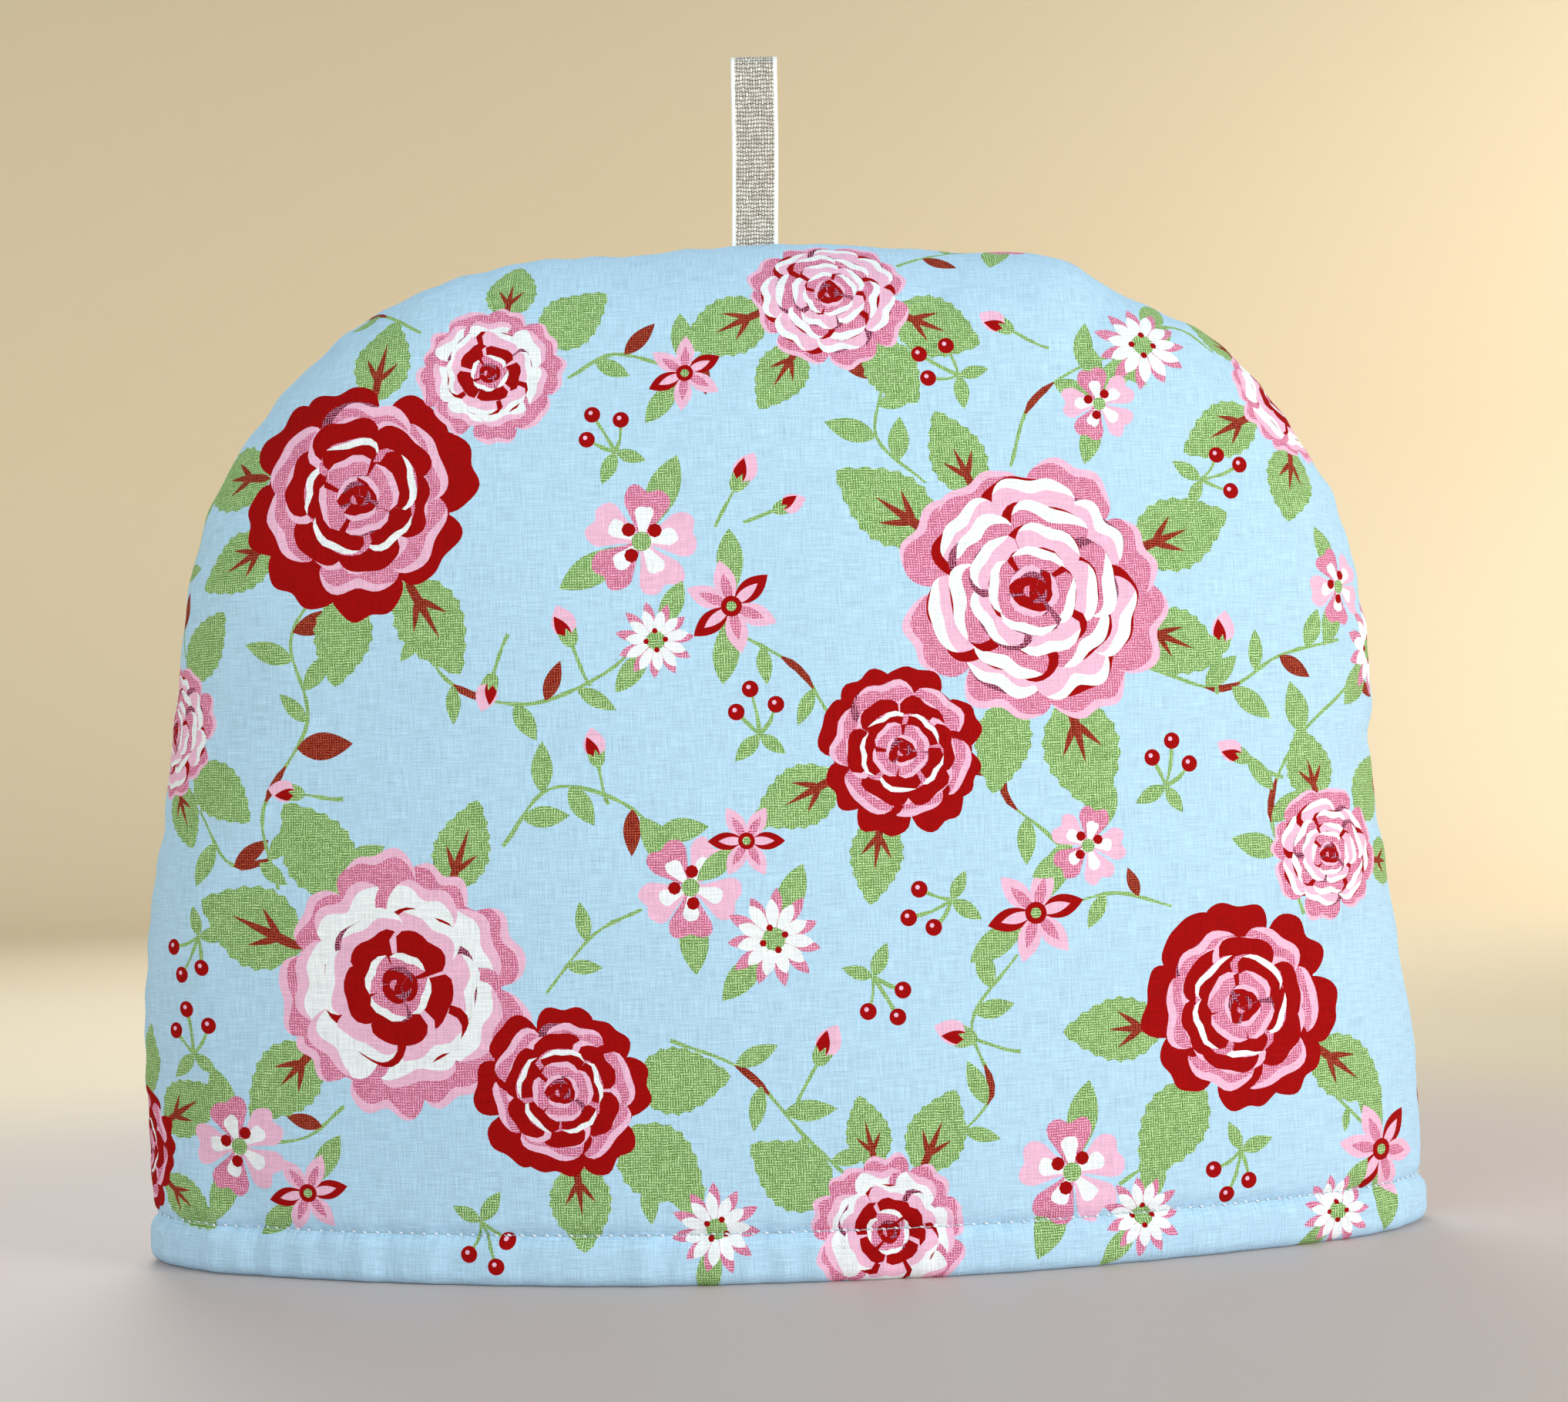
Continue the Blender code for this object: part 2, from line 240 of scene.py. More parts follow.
def unevenOutline():
    # the sewn outline with its flats, notches and full places
    points, place = resampled(evenDome(), panel["seamStep"])
    push = sum(out * np.exp(-((place - at) / reach) ** 2) for _, at, reach, out in outlineFolds)
    inward = inwardNormals(points, True)
    points -= inward * push[:, None]
    across = (points - inward * hemRelief(points[:, 1])[:, None])[:, 0]
    points[:, 0] -= (across.max() + across.min()) / 2
    points[:, 0] *= dome["width"] / np.ptp(across)
    points[[0, -1], 1] = 0.0
    return points


def rollTable():
    # the angle round the rolled edge, against the cloth that it takes up from the seam
    angle = np.linspace(0, math.pi / 2, 91)
    step = np.hypot(panel["edgeWidth"] * np.sin(angle),
                    (panel["edgeDepth"] + panel["edgeFull"]) * np.cos(angle))
    cloth = np.concatenate([[0], np.cumsum((step[1:] + step[:-1]) / 2 * (angle[1] - angle[0]))])
    return angle, cloth


def belly(x, z):
    across = np.clip(np.abs(x) / np.maximum(halfWidth(z), 1e-6), 0.0, 1.0)
    rise = np.clip(z / dome["height"], 0.0, 1.0)
    return (panel["bellyDepth"] * (1 - rise ** panel["bellyRisePower"])
            * (1 - across ** panel["bellySidePower"]))


def troughDepth(x, z, folds):
    total = np.zeros_like(x)
    for _, foldX, foldZ, halfLength, halfWide, angle, depth in folds:
        turn = math.radians(angle)
        along = (x - foldX) * math.cos(turn) + (z - foldZ) * math.sin(turn)
        across = (z - foldZ) * math.cos(turn) - (x - foldX) * math.sin(turn)
        total += depth * np.exp(-((along / halfLength) ** 2) - (across / halfWide) ** 2)
    return total


def hemInset(z):
    share = np.clip(1 - z / hem["radius"], 0.0, 1.0)
    return hem["edgeShare"] * hem["radius"] * (1 - np.sqrt(1 - share ** 2))


def drawWaves(draw, count, lengths, lastRange):
    # random waves, each with its length, an angle, and a size or another angle
    return [(draw(*lengths), draw(0, math.tau), draw(*lastRange)) for _ in range(count)]


def waveSum(waves, along):
    return sum(size * np.sin(math.tau * along / length + phase)
               for length, phase, size in waves) / 3


class PanelForm:
    # the sewn form of one panel, reached from places (u, v) on its flat cloth

    def __init__(self, folds, seed):
        self.folds = folds
        self.seam = unevenOutline()
        self.along = lengthsAlong(self.seam)
        self.inward = inwardNormals(self.seam, True)
        self.angles, self.cloth = rollTable()
        self.extra = self.cloth[-1] - panel["edgeWidth"]
        self.flat = self.seam - self.inward * self.extra
        self.flatInward = inwardNormals(self.flat, False)
        draw = np.random.default_rng(seed).uniform
        self.seamWaves = drawWaves(draw, 7, panel["puckerLengths"], (0.5, 1.0))
        self.slowWaves = drawWaves(draw, 8, panel["swellLengths"], (0, math.tau))
        self.hemWaves = drawWaves(draw, 7, hem["rippleLengths"], (0.4, 1.0))
        self.tree = flatTree(self.flat)
        self.stitchLength = None

    def feet(self, points):
        # the number of the seam's point that is nearest to each place on the flat cloth
        return nearest(self.tree, points)

    def fromSeam(self, points, feet):
        # how much cloth lies between each point and the seam
        return ((points - self.flat[feet]) * self.flatInward[feet]).sum(1)

    def plain(self, points, feet):
        cloth = self.fromSeam(points, feet)
        angle = np.interp(cloth, self.cloth, self.angles)
        angle += np.minimum(cloth, 0.0) / (panel["edgeDepth"] + panel["edgeFull"])
        inset = panel["edgeWidth"] * (1 - np.cos(angle))
        roll = panel["edgeDepth"] * np.sin(angle)
        shift = np.where(cloth < self.cloth[-1], inset - cloth + self.extra, 0.0)
        x, z = (points + self.inward[feet] * shift[:, None]).T
        full = belly(x, z) - troughDepth(x, z, self.folds)
        overRibbon = np.exp(-((x - ribbon["place"]) / ribbon["slotHalfWidth"]) ** 8)
        overRibbon *= z > dome["height"] / 2
        part = ribbon["slot"] * overRibbon * np.exp(-(cloth / ribbon["slotDepth"]) ** 2)
        depth = panel["seamGap"] / 2 + part + roll + full * roll / panel["edgeDepth"]
        return np.column_stack([x, -depth, z]), cloth, roll

    def slopes(self, surface, points, feet, step=0.0003):
        sides = [surface(points + np.array(move) * step, feet)
                 for move in ((1, 0), (-1, 0), (0, 1), (0, -1))]
        return unit(np.cross(sides[0] - sides[1], sides[2] - sides[3]))

    def plainNormals(self, points, feet):
        at, cloth, _ = self.plain(points, feet)
        normals = self.slopes(lambda p, f: self.plain(p, f)[0], points, feet)
        sewn = cloth < panel["sewnWidth"]
        normals[sewn] = -np.insert(self.inward[feet[sewn]], 1, 0.0, axis=1)
        normals[at[:, 2] < hem["radius"], 2] = 0.0
        return unit(normals)

    def relief(self, points, feet, at, cloth, roll):
        x, _, z = at.T
        full = roll / panel["edgeDepth"]
        reach = cloth / panel["puckerReach"]
        gathers = panel["puckerDepth"] * waveSum(self.seamWaves, self.along[feet])
        gathers *= reach
        gathers *= np.exp(1 - reach)
        gathers *= 1 - np.exp(-z / panel["puckerFromHem"])
        swell = sum(np.sin(math.tau * (x * math.cos(way) + z * math.sin(way)) / length + phase)
                    for length, way, phase in self.slowWaves) / 3
        middle, spread = hem["height"] * hem["rippleMiddle"], hem["height"] * hem["rippleSpread"]
        band = np.exp(-((z - middle) / spread) ** 4)
        ripple = waveSum(self.hemWaves, points[:, 0])
        groove = panel["grooveDepth"] * np.exp(-roll / panel["grooveFade"]) * (full < 1)
        total = hemRelief(z) - hemInset(z) - groove
        total += gathers + panel["swell"] * swell * full + hem["ripple"] * ripple * band * full
        if self.stitchLength is not None:
            place = np.interp(points[:, 0], *self.stitchLength) / hem["stitchPitch"]
            holes = 0.5 + 0.5 * np.cos(math.tau * place)
            valley = np.exp(-((z - hem["height"]) / hem["dimpleWidth"]) ** 2)
            total -= hem["dimple"] * holes ** 2 * valley * full
        return total

    def outer(self, points, feet):
        at, cloth, roll = self.plain(points, feet)
        normals = self.plainNormals(points, feet)
        return at + normals * self.relief(points, feet, at, cloth, roll)[:, None]

    def inner(self, points, feet):
        at, _, _ = self.plain(points, feet)
        thickness = panel["thickness"] - hemInset(at[:, 2])
        return at - self.plainNormals(points, feet) * thickness[:, None]

    def measureHem(self):
        # the sewn length along the hem's stitch line, against u
        u = np.linspace(self.flat[0, 0] + mm, self.flat[-1, 0] - mm, 900)
        points = np.column_stack([u, np.full(len(u), hem["height"])])
        line = self.outer(points, self.feet(points))
        self.stitchLength = (u, lengthsAlong(line))


# The printed cotton, drawn in millimetres: u along the hem from the middle, v up from it.

cloth = {
    "repeat": (366, 300),          # the pattern comes again after this width and height
    "seed": 11,
    "wobble": 0.035,               # unevenness of a drawn edge, of the shape's size
    "backShift": (131, -94),       # of the pattern on the back panel
}

# From the outside in: radius of the layer, petals, petal ink, ink of the shade beside each
# petal, ink of its turned edge, and how deep that edge is, both radii of the whole.
pinkLayers = (
    (1.00, 8, "rose", "red", "blush", 0.06),
    (0.83, 7, "blush", "red", "white", 0.09),
    (0.66, 6, "rose", "red", "white", 0.10),
    (0.49, 5, "blush", "red", "white", 0.08),
    (0.34, 4, "rose", "red", "white", 0.07),
    (0.20, 3, "red", "maroon", "blush", 0.05),
)
redLayers = (
    (1.00, 8, "red", "rose", "red", 0.05),
    (0.82, 6, "rose", "red", "blush", 0.08),
    (0.66, 6, "red", "blush", "red", 0.06),
    (0.50, 5, "red", "rose", "white", 0.06),
    (0.35, 4, "rose", "red", "blush", 0.06),
    (0.20, 3, "red", "maroon", "blush", 0.05),
)
paleLayers = (
    (1.00, 9, "rose", "red", "blush", 0.07),
    (0.82, 7, "white", "rose", "blush", 0.09),
    (0.62, 6, "blush", "red", "white", 0.08),
    (0.44, 5, "red", "blush", "red", 0.05),
    (0.27, 4, "rose", "red", "white", 0.06),
    (0.15, 3, "red", "maroon", "red", 0.04),
)
palettes = {"pink": pinkLayers, "red": redLayers, "pale": paleLayers}

# Layered blooms: place, width across, turn in degrees, palette, and the leaves round them
# as (direction in degrees, length).
blooms = (
    (64, 168, 70, 20, "pink", ((150, 30), (118, 24), (20, 28), (-20, 24), (-75, 30), (-105, 24))),
    (29, 129, 42, 70, "red", ((200, 24), (250, 22))),
    (-106, 197, 62, 50, "red", ((165, 28), (205, 24), (-60, 28), (-95, 24), (80, 24))),
    (-72, 228, 38, 15, "pale", ((30, 22), (75, 20))),
    (-97, 74, 66, 5, "pale", ((120, 28), (160, 30), (60, 24), (215, 26))),
    (-57, 48, 44, 40, "red", ((-35, 26), (5, 24), (-80, 22))),
    (114, 62, 54, 85, "red", ((190, 26), (235, 28), (-30, 26))),
    (140, 99, 34, 30, "pink", ((40, 22), (100, 20), (-10, 20))),
    (141, 222, 40, 0, "pale", ((210, 24), (260, 22), (140, 20))),
    (16, 247, 42, 60, "pink", ((195, 24), (240, 20), (-20, 24), (-55, 20))),
    (-163, 139, 36, 10, "pink", ((60, 22), (-40, 22), (-75, 18))),
    (22, 12, 40, 33, "pale", ((150, 24), (60, 22), (100, 18))),
    (-176, 30, 34, 64, "red", ((30, 22), (75, 20), (-30, 20))),
)

# Small flowers: kind, place, width across, turn in degrees.
flowers = (
    ("dogRose", -34, 183, 29, 10),
    ("starFlower", -12, 166, 24, 40),
    ("daisy", -31, 158, 20, 5),
    ("dogRose", -24, 97, 26, 55),
    ("daisy", -4, 84, 24, 20),
    ("starFlower", -10, 108, 19, 0),
    ("daisy", 97, 232, 25, 0),
    ("dogRose", 84, 216, 20, 30),
    ("starFlower", 61, 88, 25, 12),
    ("dogRose", 75, 104, 20, 0),
    ("dogRose", -140, 33, 26, 35),
    ("starFlower", -122, 22, 21, 10),
    ("daisy", -20, 14, 22, 60),
    ("daisy", 163, 152, 27, 0),
    ("dogRose", 148, 168, 21, 45),
    ("dogRose", 68, 24, 28, 22),
    ("daisy", 86, 12, 20, 0),
    ("starFlower", 152, 22, 26, 50),
    ("daisy", 138, 8, 19, 0),
    ("dogRose", -133, 257, 26, 15),
    ("starFlower", -22, 226, 20, 25),
    ("dogRose", 64, 276, 26, 50),
    ("daisy", -60, 283, 24, 0),
    ("starFlower", 170, 268, 26, 35),
)

# Stems: the points that they wind through, then the leaf length along them.
stems = (
    (((-92, 170), (-84, 150), (-64, 143), (-44, 150), (-33, 160)), 12),
    (((-150, 118), (-140, 104), (-120, 108), (-104, 100)), 11),
    (((-12, 160), (4, 150), (12, 138), (22, 134)), 11),
    (((-70, 108), (-58, 122), (-40, 118), (-26, 104)), 12),
    (((-128, 98), (-132, 118), (-120, 140), (-124, 160), (-118, 172)), 13),
    (((58, 134), (54, 118), (64, 108), (72, 100)), 11),
    (((92, 148), (112, 142), (128, 150), (146, 154)), 12),
    (((96, 88), (82, 92), (70, 90)), 10),
    (((-44, 30), (-34, 24), (-24, 18)), 9),
    (((34, 30), (48, 44), (44, 62), (56, 78)), 12),
    (((100, 40), (92, 28), (80, 20)), 10),
    (((132, 84), (124, 110), (132, 128), (146, 140), (158, 146)), 12),
    (((60, 200), (66, 216), (80, 226), (94, 230)), 11),
    (((118, 232), (108, 240), (98, 236)), 9),
    (((-52, 226), (-40, 232), (-26, 228)), 10),
    (((-6, 240), (-16, 232), (-22, 226)), 9),
    (((34, 256), (48, 264), (60, 272)), 10),
    (((-90, 240), (-108, 252), (-130, 256)), 11),
    (((-136, 208), (-150, 216), (-164, 206), (-176, 214)), 12),
    (((-30, 60), (-12, 52), (2, 36), (12, 26)), 12),
    (((-112, 44), (-122, 36), (-136, 34)), 9),
    (((-158, 158), (-166, 176), (-158, 192), (-168, 208)), 12),
    (((136, 40), (144, 32), (150, 26)), 8),
    (((38, 196), (26, 208), (28, 224), (20, 234)), 12),
    (((-60, 72), (-48, 86), (-36, 92)), 10),
)

# Buds and berries: kind, place, size, direction in degrees.
sprigs = (
    ("bud", -52, 158, 10, 110), ("bud", -72, 150, 9, 250), ("bud", -122, 122, 9, 170),
    ("bud", 112, 152, 10, 80), ("bud", 44, 58, 10, 160), ("bud", 118, 124, 9, 150),
    ("bud", -46, 128, 9, 100), ("bud", 6, 54, 10, 60), ("bud", -150, 224, 9, 80),
    ("bud", 62, 236, 9, 150), ("bud", -10, 196, 10, 60), ("bud", 0, 190, 8, 20),
    ("berries", 40, 92, 5, 200), ("berries", -150, 86, 5, 240), ("berries", 96, 118, 5, 80),
    ("berries", -6, 134, 5, 100), ("berries", 20, 74, 5, 300), ("berries", 172, 120, 5, 250),
    ("berries", 110, 196, 5, 20), ("berries", -40, 206, 5, 120), ("berries", -78, 16, 5, 290),
    ("berries", 112, 26, 5, 250), ("berries", -152, 56, 5, 100), ("berries", 48, 224, 5, 150),
)


def around(centre, angles, radii):
    return np.stack([centre[0] + radii * np.cos(angles), centre[1] + radii * np.sin(angles)], 1)


def pointAt(centre, direction, radius):
    return around(centre, np.array([direction]), np.array([radius]))[0]


def towards(direction):
    return np.array([math.cos(direction), math.sin(direction)])


def uneven(angles, rng, size):
    # a slow wobble, so that an edge looks drawn by hand
    waves = [(2, 0.5), (3, 0.35), (5, 0.3)]
    return size * sum(share * np.sin(count * angles + rng.uniform(0, 6.28)) for count, share in waves)


def petal(centre, direction, inner, outer, spread, notch, rng, steps=15):
    # a rounded fan from the flower's middle, notched at its rim
    across = np.linspace(-1, 1, steps)
    rim = inner + (outer - inner) * (1 - np.abs(across) ** 3.0) ** 0.42
    rim -= notch * outer * np.exp(-(across / 0.22) ** 2)
    rim *= 1 + uneven(across * 2 + direction, rng, cloth["wobble"])
    angles = direction + spread * across * (0.80 + 0.20 * (rim - inner) / (outer - inner))
    fan = around(centre, angles, rim)
    root = pointAt(centre, direction + math.pi, inner * 0.25)
    return np.concatenate([fan, [root]]), angles, rim


def turnedEdge(centre, angles, rim, depth, start, end):
    # the lip of a petal that folds over, from one place along the rim to another
    first, last = int(start * (len(rim) - 1)), int(end * (len(rim) - 1))
    angles, rim = angles[first:last + 1], rim[first:last + 1]
    share = np.linspace(0, 1, len(rim))
    lower = rim - depth * np.sin(math.pi * share) ** 0.7 - 0.04 * depth
    return np.concatenate([around(centre, angles, rim), around(centre, angles, lower)[::-1]])


bloomShape = {
    "root": 0.42,                  # inner radius of a layer's petals, of its outer one
    "layerTurn": 2.4,              # radians from each layer to the next
    "petalSway": 0.10,
    "petalReach": (0.94, 1.04),
    "petalSpread": (1.22, 1.42),   # a petal's angle, of an even share of the round
    "shadeTurn": 0.09,             # the shade beside a petal is turned and wider than it
    "shadeReach": 0.99,
    "shadeSpread": 1.12,
    "lipStart": (0.02, 0.22),      # where a turned edge starts, and its length, of the rim's
    "lipLength": 0.74,
    "rimPoints": 0.45,             # points along a petal's rim for each millimetre of the layer
}
bloomHeart = {
    "strokes": 3,                  # curled, and measured as shares of the bloom's radius
    "turn": 2.3,
    "sweep": 1.9,
    "radius": 0.045,
    "spacing": 0.030,
    "spiral": 0.25,
    "width": 0.022,
}


def layeredBloom(shapes, centre, width, turn, layers, rng):
    radius = width / 2
    turn = math.radians(turn)
    for layer, (share, petals, ink, shade, lip, depth) in enumerate(layers):
        outer, inner = radius * share, radius * share * bloomShape["root"]
        turn += bloomShape["layerTurn"]
        sway = bloomShape["petalSway"]
        steps = int(np.clip(share * width * bloomShape["rimPoints"], 9, 31))
        for k in rng.permutation(petals):
            direction = turn + math.tau * k / petals + rng.uniform(-sway, sway)
            reach = outer * rng.uniform(*bloomShape["petalReach"])
            spread = math.pi / petals * rng.uniform(*bloomShape["petalSpread"])
            dark, _, _ = petal(centre, direction + bloomShape["shadeTurn"], inner,
                               reach * bloomShape["shadeReach"], spread * bloomShape["shadeSpread"],
                               0.02, rng, steps)
            fan, angles, rim = petal(centre, direction, inner, reach, spread, 0.05, rng, steps)
            if layer:
                deep = shade == "red" and (k + layer) % 4 == 3
                shapes.append(("maroon" if deep else shade, dark))
            shapes.append((ink, fan))
            if lip != ink:
                start = rng.uniform(*bloomShape["lipStart"])
                end = start + bloomShape["lipLength"]
                shapes.append((lip, turnedEdge(centre, angles, rim, depth * radius, start, end)))
    for k in range(bloomHeart["strokes"]):
        sweep = np.linspace(0, 1, 13)
        angles = turn + bloomHeart["turn"] * k + sweep * bloomHeart["sweep"]
        middle = radius * (bloomHeart["radius"] + bloomHeart["spacing"] * k)
        middle = middle * (1 + bloomHeart["spiral"] * sweep)
        half = radius * bloomHeart["width"] * np.sin(math.pi * sweep) + 0.02
        stroke = [around(centre, angles, middle + half), around(centre, angles, middle - half)[::-1]]
        shapes.append(("maroon" if k else "rose", np.concatenate(stroke)))


def disc(centre, radius, steps=16):
    return around(centre, np.linspace(0, math.tau, steps, endpoint=False), np.full(steps, radius))


# The small flowers' petals, measured as shares of the flower's radius.
dogRosePetals = (
    # inks in turn, root, reach, half angle, notch, points along the rim
    (("blush", "rose"), 0.3, 1.0, 0.68, 0.12, 17),
    (("white", "white"), 0.2, 0.62, 0.42, 0.0, 11),
)
starPetals = (
    # ink of every third petal, ink of the others, reach, width
    ("red", "blush", 1.0, 0.46),
    ("blush", "rose", 0.72, 0.22),
)
daisyPetals = (
    # ink, reach, turn
    ("rose", 1.0, 0.0),
    ("white", 0.80, 0.12),
)


def dogRose(shapes, centre, width, turn, rng):
    radius, turn = width / 2, math.radians(turn)
    for inks, root, reach, spread, notch, steps in dogRosePetals:
        for k in range(5):
            direction = turn + math.tau * k / 5 + rng.uniform(-0.06, 0.06)
            fan, _, _ = petal(centre, direction, radius * root, radius * reach, spread, notch,
                              rng, steps)
            shapes.append((inks[k % 2], fan))
    shapes.append(("leafGreen", disc(centre, radius * 0.17)))
    for k in range(3):
        place = pointAt(centre, turn + 0.5 + 1.7 * k, radius * 0.30)
        shapes.append(("red", disc(place, radius * 0.125, 8)))


def starFlower(shapes, centre, width, turn, rng):
    radius, turn = width / 2, math.radians(turn)
    for k in range(6):
        direction = turn + math.pi * k / 3 + rng.uniform(-0.06, 0.06)
        for third, others, reach, wide in starPetals:
            petalShape = almond(centre, direction, radius * reach, radius * wide, 0.52)
            shapes.append((others if k % 3 else third, petalShape))
    shapes.append(("red", disc(centre, radius * 0.22)))
    shapes.append(("leafGreen", disc(centre, radius * 0.11, 8)))


def daisy(shapes, centre, width, turn, rng):
    radius, turn = width / 2, math.radians(turn)
    for ink, reach, shift in daisyPetals:
        for k in range(11):
            direction = turn + shift + math.tau * k / 11
            length = radius * reach * rng.uniform(0.93, 1.05)
            shapes.append((ink, almond(centre, direction, length, radius * 0.27, 0.66)))
    shapes.append(("leafGreen", disc(centre, radius * 0.24, 12)))
    for k in range(4):
        place = pointAt(centre, turn + 1.57 * k, radius * 0.24)
        shapes.append(("red", disc(place, radius * 0.075, 6)))


def almond(root, direction, length, width, fullAt, teeth=0.0):
    # a leaf or narrow petal, widest at a share of its length, with a pointed tip
    share = np.linspace(0, 1, 11 if not teeth else 17)
    power = math.log(0.5) / math.log(fullAt)
    half = width / 2 * np.sin(math.pi * share ** power) ** 0.9
    half[1:-1] += teeth * (np.arange(1, len(share) - 1) % 2)
    ahead = towards(direction)
    side = np.array([-ahead[1], ahead[0]])
    root = np.array(root)
    left = root + share[:, None] * length * ahead + half[:, None] * side
    right = root + share[:, None] * length * ahead - half[:, None] * side
    return np.concatenate([left, right[-2:0:-1]])


bigLeafShape = {
    "width": (0.56, 0.68),         # lengths are shares of the leaf's own
    "fullAt": 0.42,
    "teeth": 0.03,
    "veined": 0.7,                 # share of the leaves that show veins
    "vein": (0.55, 0.7),
    "veinWidth": 0.085,
    "branchAt": 0.22,
    "branch": 0.3,
    "branchWidth": 0.06,
    "branchTurn": 0.62,
}


def bigLeaf(shapes, root, direction, length, rng):
    width = length * rng.uniform(*bigLeafShape["width"])
    shapes.append(("leafGreen", almond(root, direction, length, width, bigLeafShape["fullAt"],
                                       bigLeafShape["teeth"] * length)))
    if rng.random() < bigLeafShape["veined"]:
        vein = rng.uniform(*bigLeafShape["vein"])
        shapes.append(("russet", almond(root, direction, length * vein,
                                        length * bigLeafShape["veinWidth"], 0.3)))
        at = np.array(root) + bigLeafShape["branchAt"] * length * towards(direction)
        for side in (-1, 1):
            branch = almond(at, direction + side * bigLeafShape["branchTurn"],
                            length * bigLeafShape["branch"],
                            length * bigLeafShape["branchWidth"], 0.3)
            shapes.append(("russet", branch))


def smoothLine(points, step):
    # a Catmull-Rom curve through the points
    points = np.array(points, float)
    ends = np.concatenate([[2 * points[0] - points[1]], points, [2 * points[-1] - points[-2]]])
    line = []
    for a, b, c, d in zip(ends, ends[1:], ends[2:], ends[3:]):
        count = max(2, int(np.linalg.norm(c - b) / step))
        t = np.arange(count)[:, None] / count
        line.append(0.5 * (2 * b + (c - a) * t + (2 * a - 5 * b + 4 * c - d) * t ** 2
                           + (3 * b - a - 3 * c + d) * t ** 3))
    return np.concatenate(line + [points[-1:]])


stemShape = {
    "width": 0.9,
    "uneven": 0.35,
    "step": 2.5,                   # between the points of its curve
    "shortPoints": 14,             # a stem with no more points than this has no sheath
    "sheathed": 0.6,               # share of the others that have one
    "sheathAt": 0.3,
    "sheathWidth": 0.95,
    "sheath": (0.3, 1, 1, 0.9, 0.25),      # its half width from point to point, of that
    "leafPitch": 9,
    "leafless": 0.2,               # share of the places along it that stay bare
    "leafTurn": 0.95,
    "leafLength": (0.75, 1.15),
    "leafWidth": (0.36, 0.48),
    "russetLeaves": 0.16,
}


def stem(shapes, points, leafLength, rng):
    line = smoothLine(points, stemShape["step"])
    ahead = unit(np.gradient(line, axis=0))
    side = np.stack([-ahead[:, 1], ahead[:, 0]], 1)
    half = stemShape["width"] / 2 * (1 + stemShape["uneven"] * rng.uniform(-1, 1, len(line)))
    half = side * half[:, None]
    shapes.append(("stemGreen", np.concatenate([line + half, (line - half)[::-1]])))
    if len(line) > stemShape["shortPoints"] and rng.random() < stemShape["sheathed"]:
        first = int(len(line) * stemShape["sheathAt"])
        last = first + len(stemShape["sheath"])
        thick = stemShape["sheathWidth"] * np.array(stemShape["sheath"])[:, None]
        thick = side[first:last] * thick
        short = line[first:last]
        shapes.append(("russet", np.concatenate([short + thick, (short - thick)[::-1]])))
    gap = max(1, int(stemShape["leafPitch"] / stemShape["step"]))
    for k, i in enumerate(range(gap, len(line) - 2, gap)):
        if rng.random() < stemShape["leafless"]:
            continue
        turn = math.atan2(ahead[i, 1], ahead[i, 0]) + stemShape["leafTurn"] * (1 if k % 2 else -1)
        length = leafLength * rng.uniform(*stemShape["leafLength"])
        ink = "russet" if rng.random() < stemShape["russetLeaves"] else "leafGreen"
        width = length * rng.uniform(*stemShape["leafWidth"])
        shapes.append((ink, almond(line[i], turn, length, width, 0.45)))


def bud(shapes, place, size, direction, rng):
    direction = math.radians(direction)
    ahead = towards(direction)
    back = np.array(place) - ahead * size * 0.9
    stem(shapes, (back - ahead * size * 0.3 + (0.6, 0.4), back, place), 0.1, rng)
    shapes.append(("blush", almond(place, direction, size, size * 0.62, 0.5)))
    shapes.append(("red", almond(place, direction + 0.22, size * 0.78, size * 0.34, 0.45)))
    cup = np.array(place) - ahead * size * 0.12
    for turn in (-0.5, 0.0, 0.5):
        shapes.append(("leafGreen", almond(cup, direction + turn, size * 0.5, size * 0.2, 0.4)))


def berries(shapes, place, size, direction, rng):
    direction = math.radians(direction)
    for turn, reach in ((-0.7, 1.7), (0.0, 2.3), (0.6, 1.6)):
        end = np.array(place) + reach * size * towards(direction + turn)
        middle = (np.array(place) + end) / 2 + (0.5, -0.6)
        stem(shapes, (place, middle, end), 0.1, rng)
        shapes.append(("red", disc(end, size * 0.42)))
        shapes.append(("blush", disc(end + (-0.4, 0.5), size * 0.12, 6)))
    shapes.append(("leafGreen", almond(place, direction + 2.2, size * 1.8, size * 0.8, 0.45)))
    shapes.append(("leafGreen", almond(place, direction - 2.4, size * 1.6, size * 0.7, 0.45)))


def drawPrint():
    # every printed shape of one repeat, the lowest first, as (ink, outline)
    rng = np.random.default_rng(cloth["seed"])
    shapes = []
    for points, leafLength in stems:
        stem(shapes, points, leafLength, rng)
    for u, v, width, _, _, leaves in blooms:
        for direction, length in leaves:
            direction = math.radians(direction)
            root = pointAt((u, v), direction, width * 0.40)
            bigLeaf(shapes, root, direction + rng.uniform(-0.2, 0.2), length, rng)
    kinds = {"dogRose": dogRose, "starFlower": starFlower, "daisy": daisy,
             "bud": bud, "berries": berries}
    for kind, u, v, size, direction in sprigs:
        kinds[kind](shapes, (u, v), size, direction, rng)
    for kind, u, v, width, turn in flowers:
        for k in range(2):
            direction = math.radians(turn) + 1.1 + 2.6 * k + rng.uniform(-0.3, 0.3)
            shapes.append(("leafGreen", almond((u, v), direction, width * 0.82, width * 0.28, 0.6)))
        kinds[kind](shapes, (u, v), width, turn, rng)
    for u, v, width, turn, palette, _ in blooms:
        layeredBloom(shapes, (u, v), width, turn, palettes[palette], rng)
    return shapes


